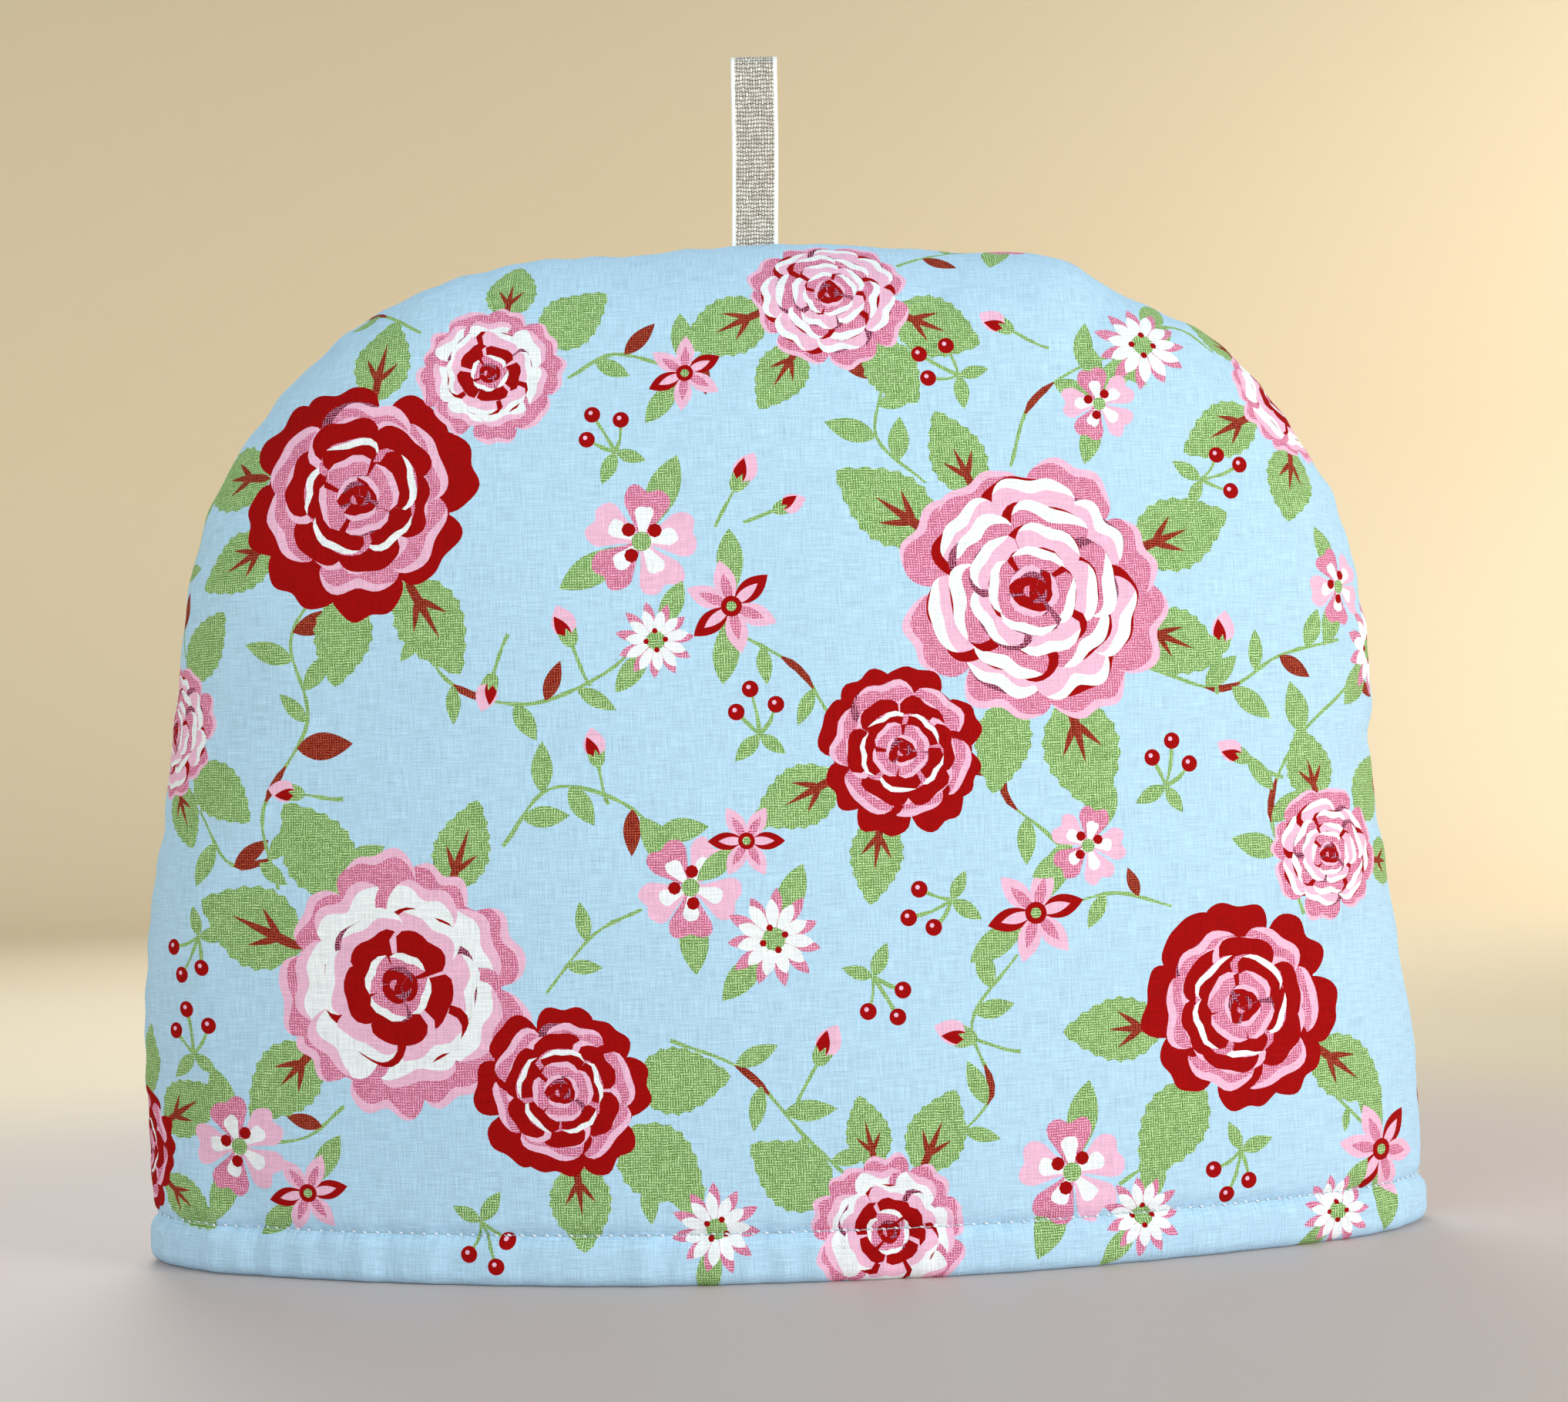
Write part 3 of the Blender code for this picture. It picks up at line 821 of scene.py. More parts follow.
def repeated(shapes, shift, low, high):
    # the repeats of the pattern that reach into a piece of cloth
    found = []
    for ink, outline in shapes:
        for i in (-1, 0, 1):
            for j in (-1, 0, 1):
                moved = outline + np.array(shift) + np.array(cloth["repeat"]) * (i, j)
                if (moved.max(0) > low).all() and (moved.min(0) < high).all():
                    found.append((ink, moved))
    return found


cottonColours = {
    # ink: its colour, the colour of its printed texture, and how strong that texture is
    "ground": ((0.476, 0.682, 0.865), (0.476, 0.682, 0.865), 0.0),
    "leafGreen": ((0.128, 0.258, 0.056), (0.560, 0.770, 0.390), 0.9),
    "stemGreen": ((0.175, 0.330, 0.085), (0.500, 0.700, 0.340), 0.8),
    "russet": ((0.175, 0.004, 0.002), (0.500, 0.100, 0.050), 0.8),
    "rose": ((0.530, 0.105, 0.205), (0.960, 0.460, 0.650), 0.9),
    "blush": ((0.870, 0.490, 0.660), (0.870, 0.490, 0.660), 0.0),
    "red": ((0.345, 0.0006, 0.0008), (0.345, 0.0006, 0.0008), 0.0),
    "white": ((0.880, 0.890, 0.920), (0.880, 0.890, 0.920), 0.0),
    "maroon": ((0.085, 0.003, 0.014), (0.720, 0.230, 0.370), 0.9),
    "lining": ((0.780, 0.740, 0.660), (0.780, 0.740, 0.660), 0.0),
}
inkNumbers = {ink: number for number, ink in enumerate(cottonColours)}

clothMesh = {
    "grid": 0.0026,            # spacing of the plain places between the printed edges
    "seamStride": 4,           # the cloth's edge takes every fourth point of the seam
    "seamRows": (0.0005, 0.0012, 0.0022, 0.0034, 0.005, 0.007, 0.0095, 0.0125),
    "hemRows": (0.0004, 0.0009, 0.0016, 0.0024, 0.0034, 0.005, 0.007, 0.0088, 0.0101, 0.0110,
                0.0117, 0.0121, 0.0125, 0.0129, 0.0133, 0.0140, 0.0149, 0.0163, 0.018, 0.0205),
    "rowStep": 0.0012,
    "liningGrid": 0.005,
    "liningRows": (0.003, 0.007, 0.012, 0.018, 0.026),
    "liningHemRows": (0.004,),
}


def inside(form, points, least):
    # those of the points that lie in the panel, that far from the seam
    gap = form.fromSeam(points, form.feet(points))
    return points[(gap > least) & (points[:, 1] > 1e-5)]


def spacedPlaces(form, grid, seamRows, hemRows, rowStep):
    # a staggered grid, with closer rows along the seam and the hem
    left, right, top = form.flat[0, 0], form.flat[-1, 0], form.flat[:, 1].max()
    rows = []
    for k, v in enumerate(np.arange(max(hemRows, default=0.0) + grid, top, grid * 0.87)):
        u = np.arange(left, right, grid) + grid * 0.5 * (k % 2)
        rows.append(np.column_stack([u, np.full(len(u), v)]))
    places = [inside(form, np.concatenate(rows), max(seamRows) + grid * 0.6)]
    for v in hemRows:
        u = np.arange(left, right, rowStep)
        places.append(inside(form, np.column_stack([u, np.full(len(u), v)]), rowStep * 0.5))
    stride = max(1, int(rowStep / panel["seamStep"]))
    for gap in seamRows:
        row = (form.flat + form.flatInward * gap)[::stride]
        row = row[row[:, 1] > max(hemRows, default=0.0) + gap]
        places.append(inside(form, row, gap * 0.7))
    return np.concatenate(places)


def triangulate(outline, edges, places, merge):
    # triangles over the outline that keep to the edges, which are (points, pairs of them)
    points = [Vector(point) for point in outline]
    face = list(range(len(points)))
    pairs = [(a + len(points), b + len(points)) for a, b in edges[1]]
    points += [Vector(point) for point in edges[0]] + [Vector(point) for point in places]
    spots, _, triangles, _, _, faces = delaunay_2d_cdt(points, pairs, [face], 1, merge)
    spots = np.array([spot[:] for spot in spots])
    spots[np.abs(spots[:, 1]) < 1e-7, 1] = 0.0      # exactly on the hem's lower edge
    triangles = np.array([found for found, face in zip(triangles, faces) if face], int)
    a, b, c = (spots[triangles[:, i]] for i in range(3))
    area = (b[:, 0] - a[:, 0]) * (c[:, 1] - a[:, 1]) - (b[:, 1] - a[:, 1]) * (c[:, 0] - a[:, 0])
    triangles[area < 0] = triangles[area < 0][:, ::-1]
    used, numbers = np.unique(triangles[area != 0], return_inverse=True)
    return spots[used], numbers.reshape(-1, 3)


def topmostInk(middles, shapes):
    # the ink of the last drawn shape over each point
    order = np.argsort(middles[:, 0])
    sortedU = middles[order, 0]
    inks = np.full(len(middles), inkNumbers["ground"])
    for ink, shape in shapes:
        first, last = np.searchsorted(sortedU, (shape[:, 0].min(), shape[:, 0].max()))
        near = order[first:last]
        v = middles[near, 1]
        near = near[(v > shape[:, 1].min()) & (v < shape[:, 1].max())]
        if not len(near):
            continue
        u, v = middles[near, :1], middles[near, 1:]
        a, b = shape, np.roll(shape, -1, axis=0)
        rise = b[:, 1] - a[:, 1]
        crosses = (a[:, 1] > v) != (b[:, 1] > v)
        at = a[:, 0] + (v - a[:, 1]) * (b[:, 0] - a[:, 0]) / np.where(rise == 0, 1, rise)
        turns = (crosses * (u < at) * np.sign(rise)).sum(1)
        inks[near[turns != 0]] = inkNumbers[ink]
    return inks


def cutPrint(outline, shapes, places):
    # the cloth as triangles of one ink each: once with every shape's edge, and then again
    # with only the edges between two inks
    edges, start = [], 0
    for _, shape in shapes:
        count = len(shape)
        edges += [(start + i, start + (i + 1) % count) for i in range(count)]
        start += count
    drawn = np.concatenate([shape for _, shape in shapes])
    spots, triangles = triangulate(outline, (drawn, edges), [], 1e-6)
    inks = topmostInk(spots[triangles].mean(1), shapes)
    sides = np.concatenate([triangles[:, [0, 1]], triangles[:, [1, 2]], triangles[:, [2, 0]]])
    sideInks = dict(zip(map(tuple, sides.tolist()), np.tile(inks, 3).tolist()))
    borders = [(a, b) for (a, b), ink in sideInks.items()
               if a < b and sideInks.get((b, a), ink) != ink]
    used, numbers = np.unique(np.array(borders), return_inverse=True)
    borders = (spots[used], numbers.reshape(-1, 2).tolist())
    spots, triangles = triangulate(outline, borders, places, 2e-5)
    return spots, triangles, topmostInk(spots[triangles].mean(1), shapes)


def rim(triangles):
    # the points round the edge of a triangulated piece, in order
    edges = np.concatenate([triangles[:, [0, 1]], triangles[:, [1, 2]], triangles[:, [2, 0]]])
    known = set(map(tuple, edges.tolist()))
    after = {a: b for a, b in known if (b, a) not in known}
    start = min(after)
    loop = [start]
    while after[loop[-1]] != start:
        loop.append(after[loop[-1]])
    return loop


bakeMap = {
    "margin": 0.004,
    "printWidth": 0.992,
    "liningTop": 0.990,
    "rimGap": 0.010,               # from the lining to the strip for the panel's rim
    "rimEnd": 0.995,
    "rimBand": (0.02, 0.10),       # low and high side of that strip, above the print
}


def bakeLayout(outer, lining, steps):
    # places on a square map: the printed cloth over most of it, the lining and the rim above
    margin = bakeMap["margin"]
    low, size = outer.min(0), np.ptp(outer, axis=0)
    scale = bakeMap["printWidth"] / size[0]
    top = margin + size[1] * scale
    small = (bakeMap["liningTop"] - top) / size[1]
    printed = margin + (outer - low) * scale
    plain = (lining - low) * small + (margin, top + margin)
    start = bakeMap["rimGap"] + size[0] * small
    at = start + (bakeMap["rimEnd"] - start) * np.arange(steps + 1) / steps
    lower, upper = (np.full(steps, top + height) for height in bakeMap["rimBand"])
    a, b, c, d = (np.column_stack([u, v]) for v in (lower, upper) for u in (at[:-1], at[1:]))
    return np.concatenate([printed, plain, np.stack([b, a, c, b, c, d], 1).reshape(-1, 2)])


def flipped(corners):
    # the values at each triangle's corners, in the other order
    return corners.reshape(-1, 3, corners.shape[1])[:, ::-1].reshape(corners.shape)


def newPiece(name, points, faces, material):
    mesh = bpy.data.meshes.new(name)
    mesh.from_pydata(points.tolist(), [], faces)
    mesh.shade_smooth()
    mesh.materials.append(material)
    piece = bpy.data.objects.new(name, mesh)
    bpy.context.scene.collection.objects.link(piece)
    return piece


def panelPiece(name, form, shapes, mirror, material):
    # the print on the outside, the lining inside, and a strip between them round the rim
    seam = np.concatenate([form.flat[:-1:clothMesh["seamStride"]], form.flat[-1:]])
    left, right = form.flat[0, 0], form.flat[-1, 0]
    foot = np.linspace(left, right, int((right - left) / clothMesh["rowStep"]))[1:-1]
    outline = np.concatenate([seam[::-1], np.column_stack([foot, np.zeros(len(foot))])])
    places = spacedPlaces(form, clothMesh["grid"], clothMesh["seamRows"], clothMesh["hemRows"],
                          clothMesh["rowStep"])
    spots, triangles, inks = cutPrint(outline, shapes, places)
    loop = rim(triangles)
    feet = form.feet(spots)
    outerPoints = form.outer(spots, feet)
    outerNormals = form.slopes(form.outer, spots, feet)

    places = spacedPlaces(form, clothMesh["liningGrid"], clothMesh["liningRows"],
                          clothMesh["liningHemRows"], clothMesh["liningGrid"])
    liningSpots, liningTriangles = triangulate(spots[loop], ([], []), places, 1e-7)
    liningTriangles = liningTriangles[:, ::-1]
    liningFeet = form.feet(liningSpots)
    innerPoints = form.inner(liningSpots, liningFeet)
    innerNormals = -form.slopes(form.inner, liningSpots, liningFeet)
    innerLoop = nearest(flatTree(liningSpots), spots[loop])

    count = len(spots)
    a, b = np.array(loop), np.roll(loop, -1)
    c, d = count + innerLoop, count + np.roll(innerLoop, -1)
    strip = np.stack([b, a, c, b, c, d], 1).reshape(-1, 3)
    points = np.concatenate([outerPoints, innerPoints])
    faces = np.concatenate([triangles, liningTriangles + count, strip])
    a, b, c = (points[strip[:, i]] for i in range(3))
    stripNormals = np.repeat(unit(np.cross(b - a, c - a)), 3, axis=0)
    normals = np.concatenate([outerNormals[triangles].reshape(-1, 3),
                              innerNormals[liningTriangles].reshape(-1, 3), stripNormals])
    ink = np.concatenate([inks, np.full(len(liningTriangles), inkNumbers["lining"]),
                          np.full(len(strip), inkNumbers["ground"])])
    printed = spots[triangles].reshape(-1, 2)
    lining = liningSpots[liningTriangles].reshape(-1, 2)
    onStrip = np.concatenate([spots, liningSpots])[strip].reshape(-1, 2)
    flatCloth = np.concatenate([printed, lining, onStrip])
    bakePlaces = bakeLayout(printed, lining, len(loop))
    if mirror:
        points[:, 1] *= -1
        normals[:, 1] *= -1
        faces = faces[:, ::-1]
        normals, flatCloth, bakePlaces = map(flipped, (normals, flatCloth, bakePlaces))
    piece = newPiece(name, points, faces.tolist(), material)
    mesh = piece.data
    mesh.attributes.new("ink", "FLOAT", "FACE").data.foreach_set("value", ink.astype(float))
    mesh.uv_layers.new(name="cloth").data.foreach_set("uv", flatCloth.reshape(-1))
    mesh.uv_layers.new(name="OFBake").data.foreach_set("uv", bakePlaces.reshape(-1))
    mesh.normals_split_custom_set(normals.tolist())
    print(name, len(faces), "triangles")
    return piece


def addNode(tree, kind, inputs=None, **settings):
    node = tree.nodes.new("ShaderNode" + kind)
    for key, value in settings.items():
        setattr(node, key, value)
    for key, value in (inputs or {}).items():
        if isinstance(value, bpy.types.NodeSocket):
            tree.links.new(value, node.inputs[key])
        else:
            node.inputs[key].default_value = value
    return node


def maths(tree, operation, a, b=0.0, clamp=False):
    return addNode(tree, "Math", {0: a, 1: b}, operation=operation, use_clamp=clamp).outputs[0]


def newGroup(name, inputs, outputs):
    group = bpy.data.node_groups.new(name, "ShaderNodeTree")
    for label, kind, value in inputs:
        socket = group.interface.new_socket(name=label, in_out="INPUT",
                                            socket_type="NodeSocket" + kind)
        if value is not None:
            socket.default_value = value
    for label, kind in outputs:
        group.interface.new_socket(name=label, in_out="OUTPUT", socket_type="NodeSocket" + kind)
    return group, group.nodes.new("NodeGroupInput"), group.nodes.new("NodeGroupOutput")


def mixColours(tree, share, first, second):
    return addNode(tree, "Mix", {0: share, 6: first, 7: second}, data_type="RGBA").outputs[2]


def mixValues(tree, share, first, second):
    return addNode(tree, "Mix", {0: share, 2: first, 3: second}, data_type="FLOAT").outputs[0]


def newMaterial(name, roughness):
    material = bpy.data.materials.new(name)
    material.use_nodes = True
    shader = material.node_tree.nodes["Principled BSDF"]
    shader.inputs["Roughness"].default_value = roughness
    return material, material.node_tree, shader


def finishCloth(tree, shader, colour, light, strength, distance, height):
    # the colour, lighter and darker with its yarns or fibres, which also stand out a little
    shaded = addNode(tree, "HueSaturation", {"Color": colour, "Value": light})
    tree.links.new(shaded.outputs[0], shader.inputs["Base Color"])
    bump = addNode(tree, "Bump", {"Strength": strength, "Distance": distance, "Height": height})
    tree.links.new(bump.outputs[0], shader.inputs["Normal"])


def plainWeaveGroup():
    # a plain weave of fine yarns, some of them thicker for a stretch
    group, start, end = newGroup("plainWeave", [
        ("Place", "Vector", None), ("Yarn", "Float", 0.0004), ("Slub Along", "Float", 140.0),
        ("Slub Across", "Float", 3500.0), ("Interlace", "Float", 0.4),
    ], [("Slub", "Float"), ("Height", "Float")])
    split = addNode(group, "SeparateXYZ", {0: start.outputs["Place"]})
    streaks, waves = [], []
    for along, across in ((0, 1), (1, 0)):
        longWay = maths(group, "MULTIPLY", split.outputs[along], start.outputs["Slub Along"])
        crossWay = maths(group, "MULTIPLY", split.outputs[across], start.outputs["Slub Across"])
        place = addNode(group, "CombineXYZ", {0: longWay, 1: crossWay, 2: 3.0 * along})
        noise = addNode(group, "TexNoise", {"Vector": place.outputs[0], "Scale": 1.0, "Detail": 2.0,
                                            "Roughness": 0.6}, noise_dimensions="3D")
        streaks.append(noise.outputs[0])
        phase = maths(group, "DIVIDE", split.outputs[along], start.outputs["Yarn"])
        waves.append(maths(group, "SINE", maths(group, "MULTIPLY", phase, math.pi)))
    slub = maths(group, "SUBTRACT", maths(group, "ADD", streaks[0], streaks[1]), 1.0)
    weave = maths(group, "MULTIPLY", maths(group, "MULTIPLY", waves[0], waves[1]),
                  start.outputs["Interlace"])
    group.links.new(slub, end.inputs["Slub"])
    group.links.new(maths(group, "ADD", weave, slub), end.inputs["Height"])
    return group


def basketCellsGroup():
    # cells that lie across and along in turn, on a place that sways softly about
    group, start, end = newGroup("basketCells", [
        ("Place", "Vector", None), ("Across Pitch", "Float", 0.001), ("Along Pitch", "Float", 0.001),
        ("Shift", "Float", 0.0), ("Sway Scale", "Float", 300.0), ("Sway", "Float", 0.0008),
        ("Sway Middle", "Float", 0.5),
    ], [("Across", "Float"), ("Along", "Float"), ("Turned", "Float"), ("Chance", "Float"),
        ("Chances", "Color")])
    sway = addNode(group, "TexNoise", {"Vector": start.outputs["Place"], "Detail": 1.0,
                                       "Scale": start.outputs["Sway Scale"]})
    sway = addNode(group, "VectorMath", {0: sway.outputs["Color"], 1: start.outputs["Sway Middle"]},
                   operation="SUBTRACT")
    sway = addNode(group, "VectorMath", {0: sway.outputs[0], "Scale": start.outputs["Sway"]},
                   operation="SCALE")
    place = addNode(group, "VectorMath", {0: start.outputs["Place"], 1: sway.outputs[0]},
                    operation="ADD")
    split = addNode(group, "SeparateXYZ", {0: place.outputs[0]})
    cells = []
    for axis, way in enumerate(("Across", "Along")):
        turn = maths(group, "DIVIDE", split.outputs[axis], start.outputs[way + " Pitch"])
        turn = maths(group, "ADD", turn, start.outputs["Shift"])
        cells.append(maths(group, "FLOOR", turn))
        fromMiddle = maths(group, "SUBTRACT", maths(group, "FRACT", turn), 0.5)
        group.links.new(maths(group, "ABSOLUTE", fromMiddle), end.inputs[way])
    turned = maths(group, "PINGPONG", maths(group, "ADD", cells[0], cells[1]), 1.0)
    group.links.new(turned, end.inputs["Turned"])
    cell = addNode(group, "CombineXYZ", {0: cells[0], 1: cells[1], 2: 0.0})
    chance = addNode(group, "TexWhiteNoise", {"Vector": cell.outputs[0]}, noise_dimensions="3D")
    group.links.new(chance.outputs["Value"], end.inputs["Chance"])
    group.links.new(chance.outputs["Color"], end.inputs["Chances"])
    return group


def fibreGroup():
    # fine fibres as light and dark between two values, and as height
    group, start, end = newGroup("fibres", [
        ("Place", "Vector", None), ("Scale", "Float", 2000.0), ("Detail", "Float", 2.0),
        ("Low", "Float", 0.0), ("High", "Float", 1.0), ("Dark", "Float", 0.75),
        ("Bright", "Float", 1.0),
    ], [("Light", "Float"), ("Height", "Float")])
    noise = addNode(group, "TexNoise", {"Vector": start.outputs["Place"],
                                        "Scale": start.outputs["Scale"],
                                        "Detail": start.outputs["Detail"]})
    light = addNode(group, "MapRange", {0: noise.outputs[0], 1: start.outputs["Low"],
                                        2: start.outputs["High"], 3: start.outputs["Dark"],
                                        4: start.outputs["Bright"]})
    group.links.new(light.outputs[0], end.inputs["Light"])
    group.links.new(noise.outputs[0], end.inputs["Height"])
    return group


plainWeave = plainWeaveGroup()
basketCells = basketCellsGroup()
fibres = fibreGroup()

cottonFinish = {
    "weave": {"Yarn": 0.00042, "Slub Along": 140.0, "Slub Across": 3500.0, "Interlace": 0.4},
    "slubLight": 0.62,             # how much lighter and darker the thick yarns are
    "relief": 0.0002,
    "reliefStrength": 0.5,
    # the printed linen texture, of short dashes
    "dashes": {"Across Pitch": 0.00064, "Along Pitch": 0.00064, "Shift": 0.0,
               "Sway Scale": 260.0, "Sway": 0.0007, "Sway Middle": 0.0},
    "dashTurned": 0.22,            # share of the dashes that lie the other way
    "dashWidth": 0.14,             # half of the narrowest, in cells, and what chance adds to it
    "dashMore": 0.16,
    "dashEdge": 0.12,
    "roughness": 0.88,
    "specular": 0.12,
}


def inkRamp(tree, factor, choose):
    ramp = addNode(tree, "ValToRGB", {0: factor})
    stops = ramp.color_ramp
    stops.interpolation = "CONSTANT"
    stops.elements.remove(stops.elements[1])
    for k, values in enumerate(cottonColours.values()):
        stop = stops.elements[0] if k == 0 else stops.elements.new((k - 0.4) / len(cottonColours))
        stop.color = (*choose(values), values[2])
    return ramp


def linenDashes(tree, place):
    cells = addNode(tree, "Group", {"Place": place, **cottonFinish["dashes"]}, node_tree=basketCells)
    drawn = addNode(tree, "SeparateColor", {0: cells.outputs["Chances"]})
    swapped = maths(tree, "LESS_THAN", drawn.outputs[0], cottonFinish["dashTurned"])
    turned = maths(tree, "SUBTRACT", cells.outputs["Turned"], swapped)
    narrow = mixValues(tree, maths(tree, "ABSOLUTE", turned), cells.outputs["Across"],
                       cells.outputs["Along"])
    width = maths(tree, "MULTIPLY", drawn.outputs[1], cottonFinish["dashMore"])
    width = maths(tree, "ADD", width, cottonFinish["dashWidth"])
    edge = maths(tree, "DIVIDE", maths(tree, "SUBTRACT", width, narrow), cottonFinish["dashEdge"])
    return maths(tree, "ADD", edge, 0.5, clamp=True)


def printedCotton():
    material, tree, shader = newMaterial("printedCotton", cottonFinish["roughness"])
    shader.inputs["Specular IOR Level"].default_value = cottonFinish["specular"]
    place = addNode(tree, "UVMap", uv_map="cloth").outputs[0]
    ink = addNode(tree, "Attribute", attribute_name="ink").outputs["Fac"]
    factor = maths(tree, "DIVIDE", ink, float(len(cottonColours)))
    base = inkRamp(tree, factor, lambda values: values[0])
    texture = inkRamp(tree, factor, lambda values: values[1])
    weave = addNode(tree, "Group", {"Place": place, **cottonFinish["weave"]}, node_tree=plainWeave)
    share = maths(tree, "MULTIPLY", linenDashes(tree, place), texture.outputs["Alpha"])
    inked = mixColours(tree, share, base.outputs[0], texture.outputs[0])
    light = maths(tree, "MULTIPLY", weave.outputs["Slub"], cottonFinish["slubLight"])
    finishCloth(tree, shader, inked, maths(tree, "ADD", light, 1.0), cottonFinish["reliefStrength"],
                cottonFinish["relief"], weave.outputs["Height"])
    return material


print("panels")
cotton = printedCotton()
pattern = drawPrint()


def makePanel(name, node, folds, seed, shift, mirror):
    form = PanelForm(folds, seed)
    form.measureHem()
    low, high = form.flat.min(0) / mm, form.flat.max(0) / mm
    shapes = [(ink, outline * mm) for ink, outline in repeated(pattern, shift, low, high)]
    piece = panelPiece(name, form, shapes, mirror, cotton)
    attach(piece, "root")
    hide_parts(node)
    return form, piece


frontForm, frontPanel = makePanel("frontPanel", "front_panel", frontFolds, seed=3,
                                  shift=(0, 0), mirror=False)
backForm, backPanel = makePanel("backPanel", "back_panel", backFolds, seed=5,
                                shift=cloth["backShift"], mirror=True)

print("stitches")
stitch = {
    "length": 0.0028,          # of the thread that shows between two needle holes
    "width": 0.00030,
    "loopLength": 0.00135,     # the bright end, where the thread comes up
    "loopWidth": 0.00058,
    "loopTurn": 22.0,
    "stands": 0.00004,         # above the bottom of the stitched groove
    "tilt": 5.0,               # most that a stitch lies off its line, in degrees
    "sizes": (0.94, 1.04),
    "endGap": 0.006,           # of the hem that has no stitch, at both ends together
    "firstStitch": 1.5,        # how many pitches from the hem's end it lies
    # the thread along its groove is painted darker, as shade; its raised end keeps the thread's own
    # pale colour
    "colour": (0.40, 0.56, 0.66),
    "loopColour": (0.92, 0.95, 1.00),
    "fibres": {"Scale": 2600.0, "Detail": 2.0, "Low": 0.3, "High": 0.7, "Dark": 0.75, "Bright": 1.0},
    "relief": 0.00008,
    "reliefStrength": 0.6,
    "roughness": 0.6,
}


def stitchShape():
    # one stitch along X at the origin, up along Z: a thin round thread and its raised end
    clearSelection()
    bpy.ops.mesh.primitive_uv_sphere_add(segments=6, ring_count=4, radius=0.5)
    seed = bpy.context.object
    bpy.ops.object.mode_set(mode="EDIT")
    bpy.ops.mesh.select_all(action="SELECT")
    bpy.ops.transform.rotate(value=math.pi / 2, orient_axis="Y", center_override=(0, 0, 0))
    bpy.ops.transform.resize(value=(stitch["length"], stitch["width"], stitch["width"] * 0.8))
    bpy.ops.mesh.select_all(action="DESELECT")
    bpy.ops.mesh.primitive_uv_sphere_add(segments=6, ring_count=4, radius=0.5)
    bpy.ops.transform.resize(value=(stitch["loopLength"], stitch["loopWidth"], stitch["loopWidth"]))
    bpy.ops.transform.rotate(value=math.radians(stitch["loopTurn"]), orient_axis="Z",
                             center_override=(0, 0, 0))
    bpy.ops.transform.translate(value=(stitch["length"] * 0.5, 0, stitch["width"] * 0.6))
    bpy.ops.object.mode_set(mode="OBJECT")
    points = np.array([vertex.co[:] for vertex in seed.data.vertices])
    faces = sorted(tuple(face.vertices) for face in seed.data.polygons)
    bpy.data.objects.remove(seed, do_unlink=True)
    onLoop = np.arange(len(points)) >= len(points) // 2
    return points, faces, onLoop


def sewingThread():
    material, tree, shader = newMaterial("sewingThread", stitch["roughness"])
    place = addNode(tree, "TexCoord").outputs["Object"]
    onLoop = addNode(tree, "Attribute", attribute_name="loop").outputs["Fac"]
    # the thread painted darker as shade along its length, and pale at its raised end
    shadedThread = mixColours(tree, onLoop, (*stitch["colour"], 1), (*stitch["loopColour"], 1))
    grain = addNode(tree, "Group", {"Place": place, **stitch["fibres"]}, node_tree=fibres)
    finishCloth(tree, shader, shadedThread, grain.outputs["Light"], stitch["reliefStrength"],
                stitch["relief"], grain.outputs["Height"])
    return material


def stitchRow(name, form, shape, material, seed, mirror):
    chance = np.random.default_rng(seed)
    u, length = form.stitchLength
    count = int((length[-1] - stitch["endGap"]) / hem["stitchPitch"])
    middles = (np.arange(count) + stitch["firstStitch"]) * hem["stitchPitch"]
    points = np.column_stack([np.interp(middles, length, u), np.full(count, hem["height"])])
    feet = form.feet(points)
    places, normals = form.outer(points, feet), form.slopes(form.outer, points, feet)
    ahead = np.gradient(places, axis=0)
    if mirror:
        places, normals, ahead = (part * (1, -1, 1) for part in (places, normals, ahead))
    base, faces, onLoop = shape
    allPoints, allFaces = [], []
    for k, (place, normal, along) in enumerate(zip(places, normals, ahead)):
        up = Vector(normal).normalized()
        side = up.cross(Vector(along)).normalized()
        turn = Matrix((side.cross(up), side, up)).transposed()
        tilt = Matrix.Rotation(math.radians(chance.uniform(-1, 1) * stitch["tilt"]), 3, "Z")
        turn = np.array(turn @ tilt) * chance.uniform(*stitch["sizes"])
        allPoints.append(base @ turn.T + place + np.array(up) * stitch["stands"])
        allFaces += [tuple(k * len(base) + i for i in face) for face in faces]
    row = newPiece(name, np.concatenate(allPoints), allFaces, material)
    loopShare = np.tile(onLoop.astype(float), count)
    row.data.attributes.new("loop", "FLOAT", "POINT").data.foreach_set("value", loopShare)
    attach(row, "root")


thread = sewingThread()
oneStitch = stitchShape()
stitchRow("frontHemStitches", frontForm, oneStitch, thread, seed=21, mirror=False)
stitchRow("backHemStitches", backForm, oneStitch, thread, seed=22, mirror=True)

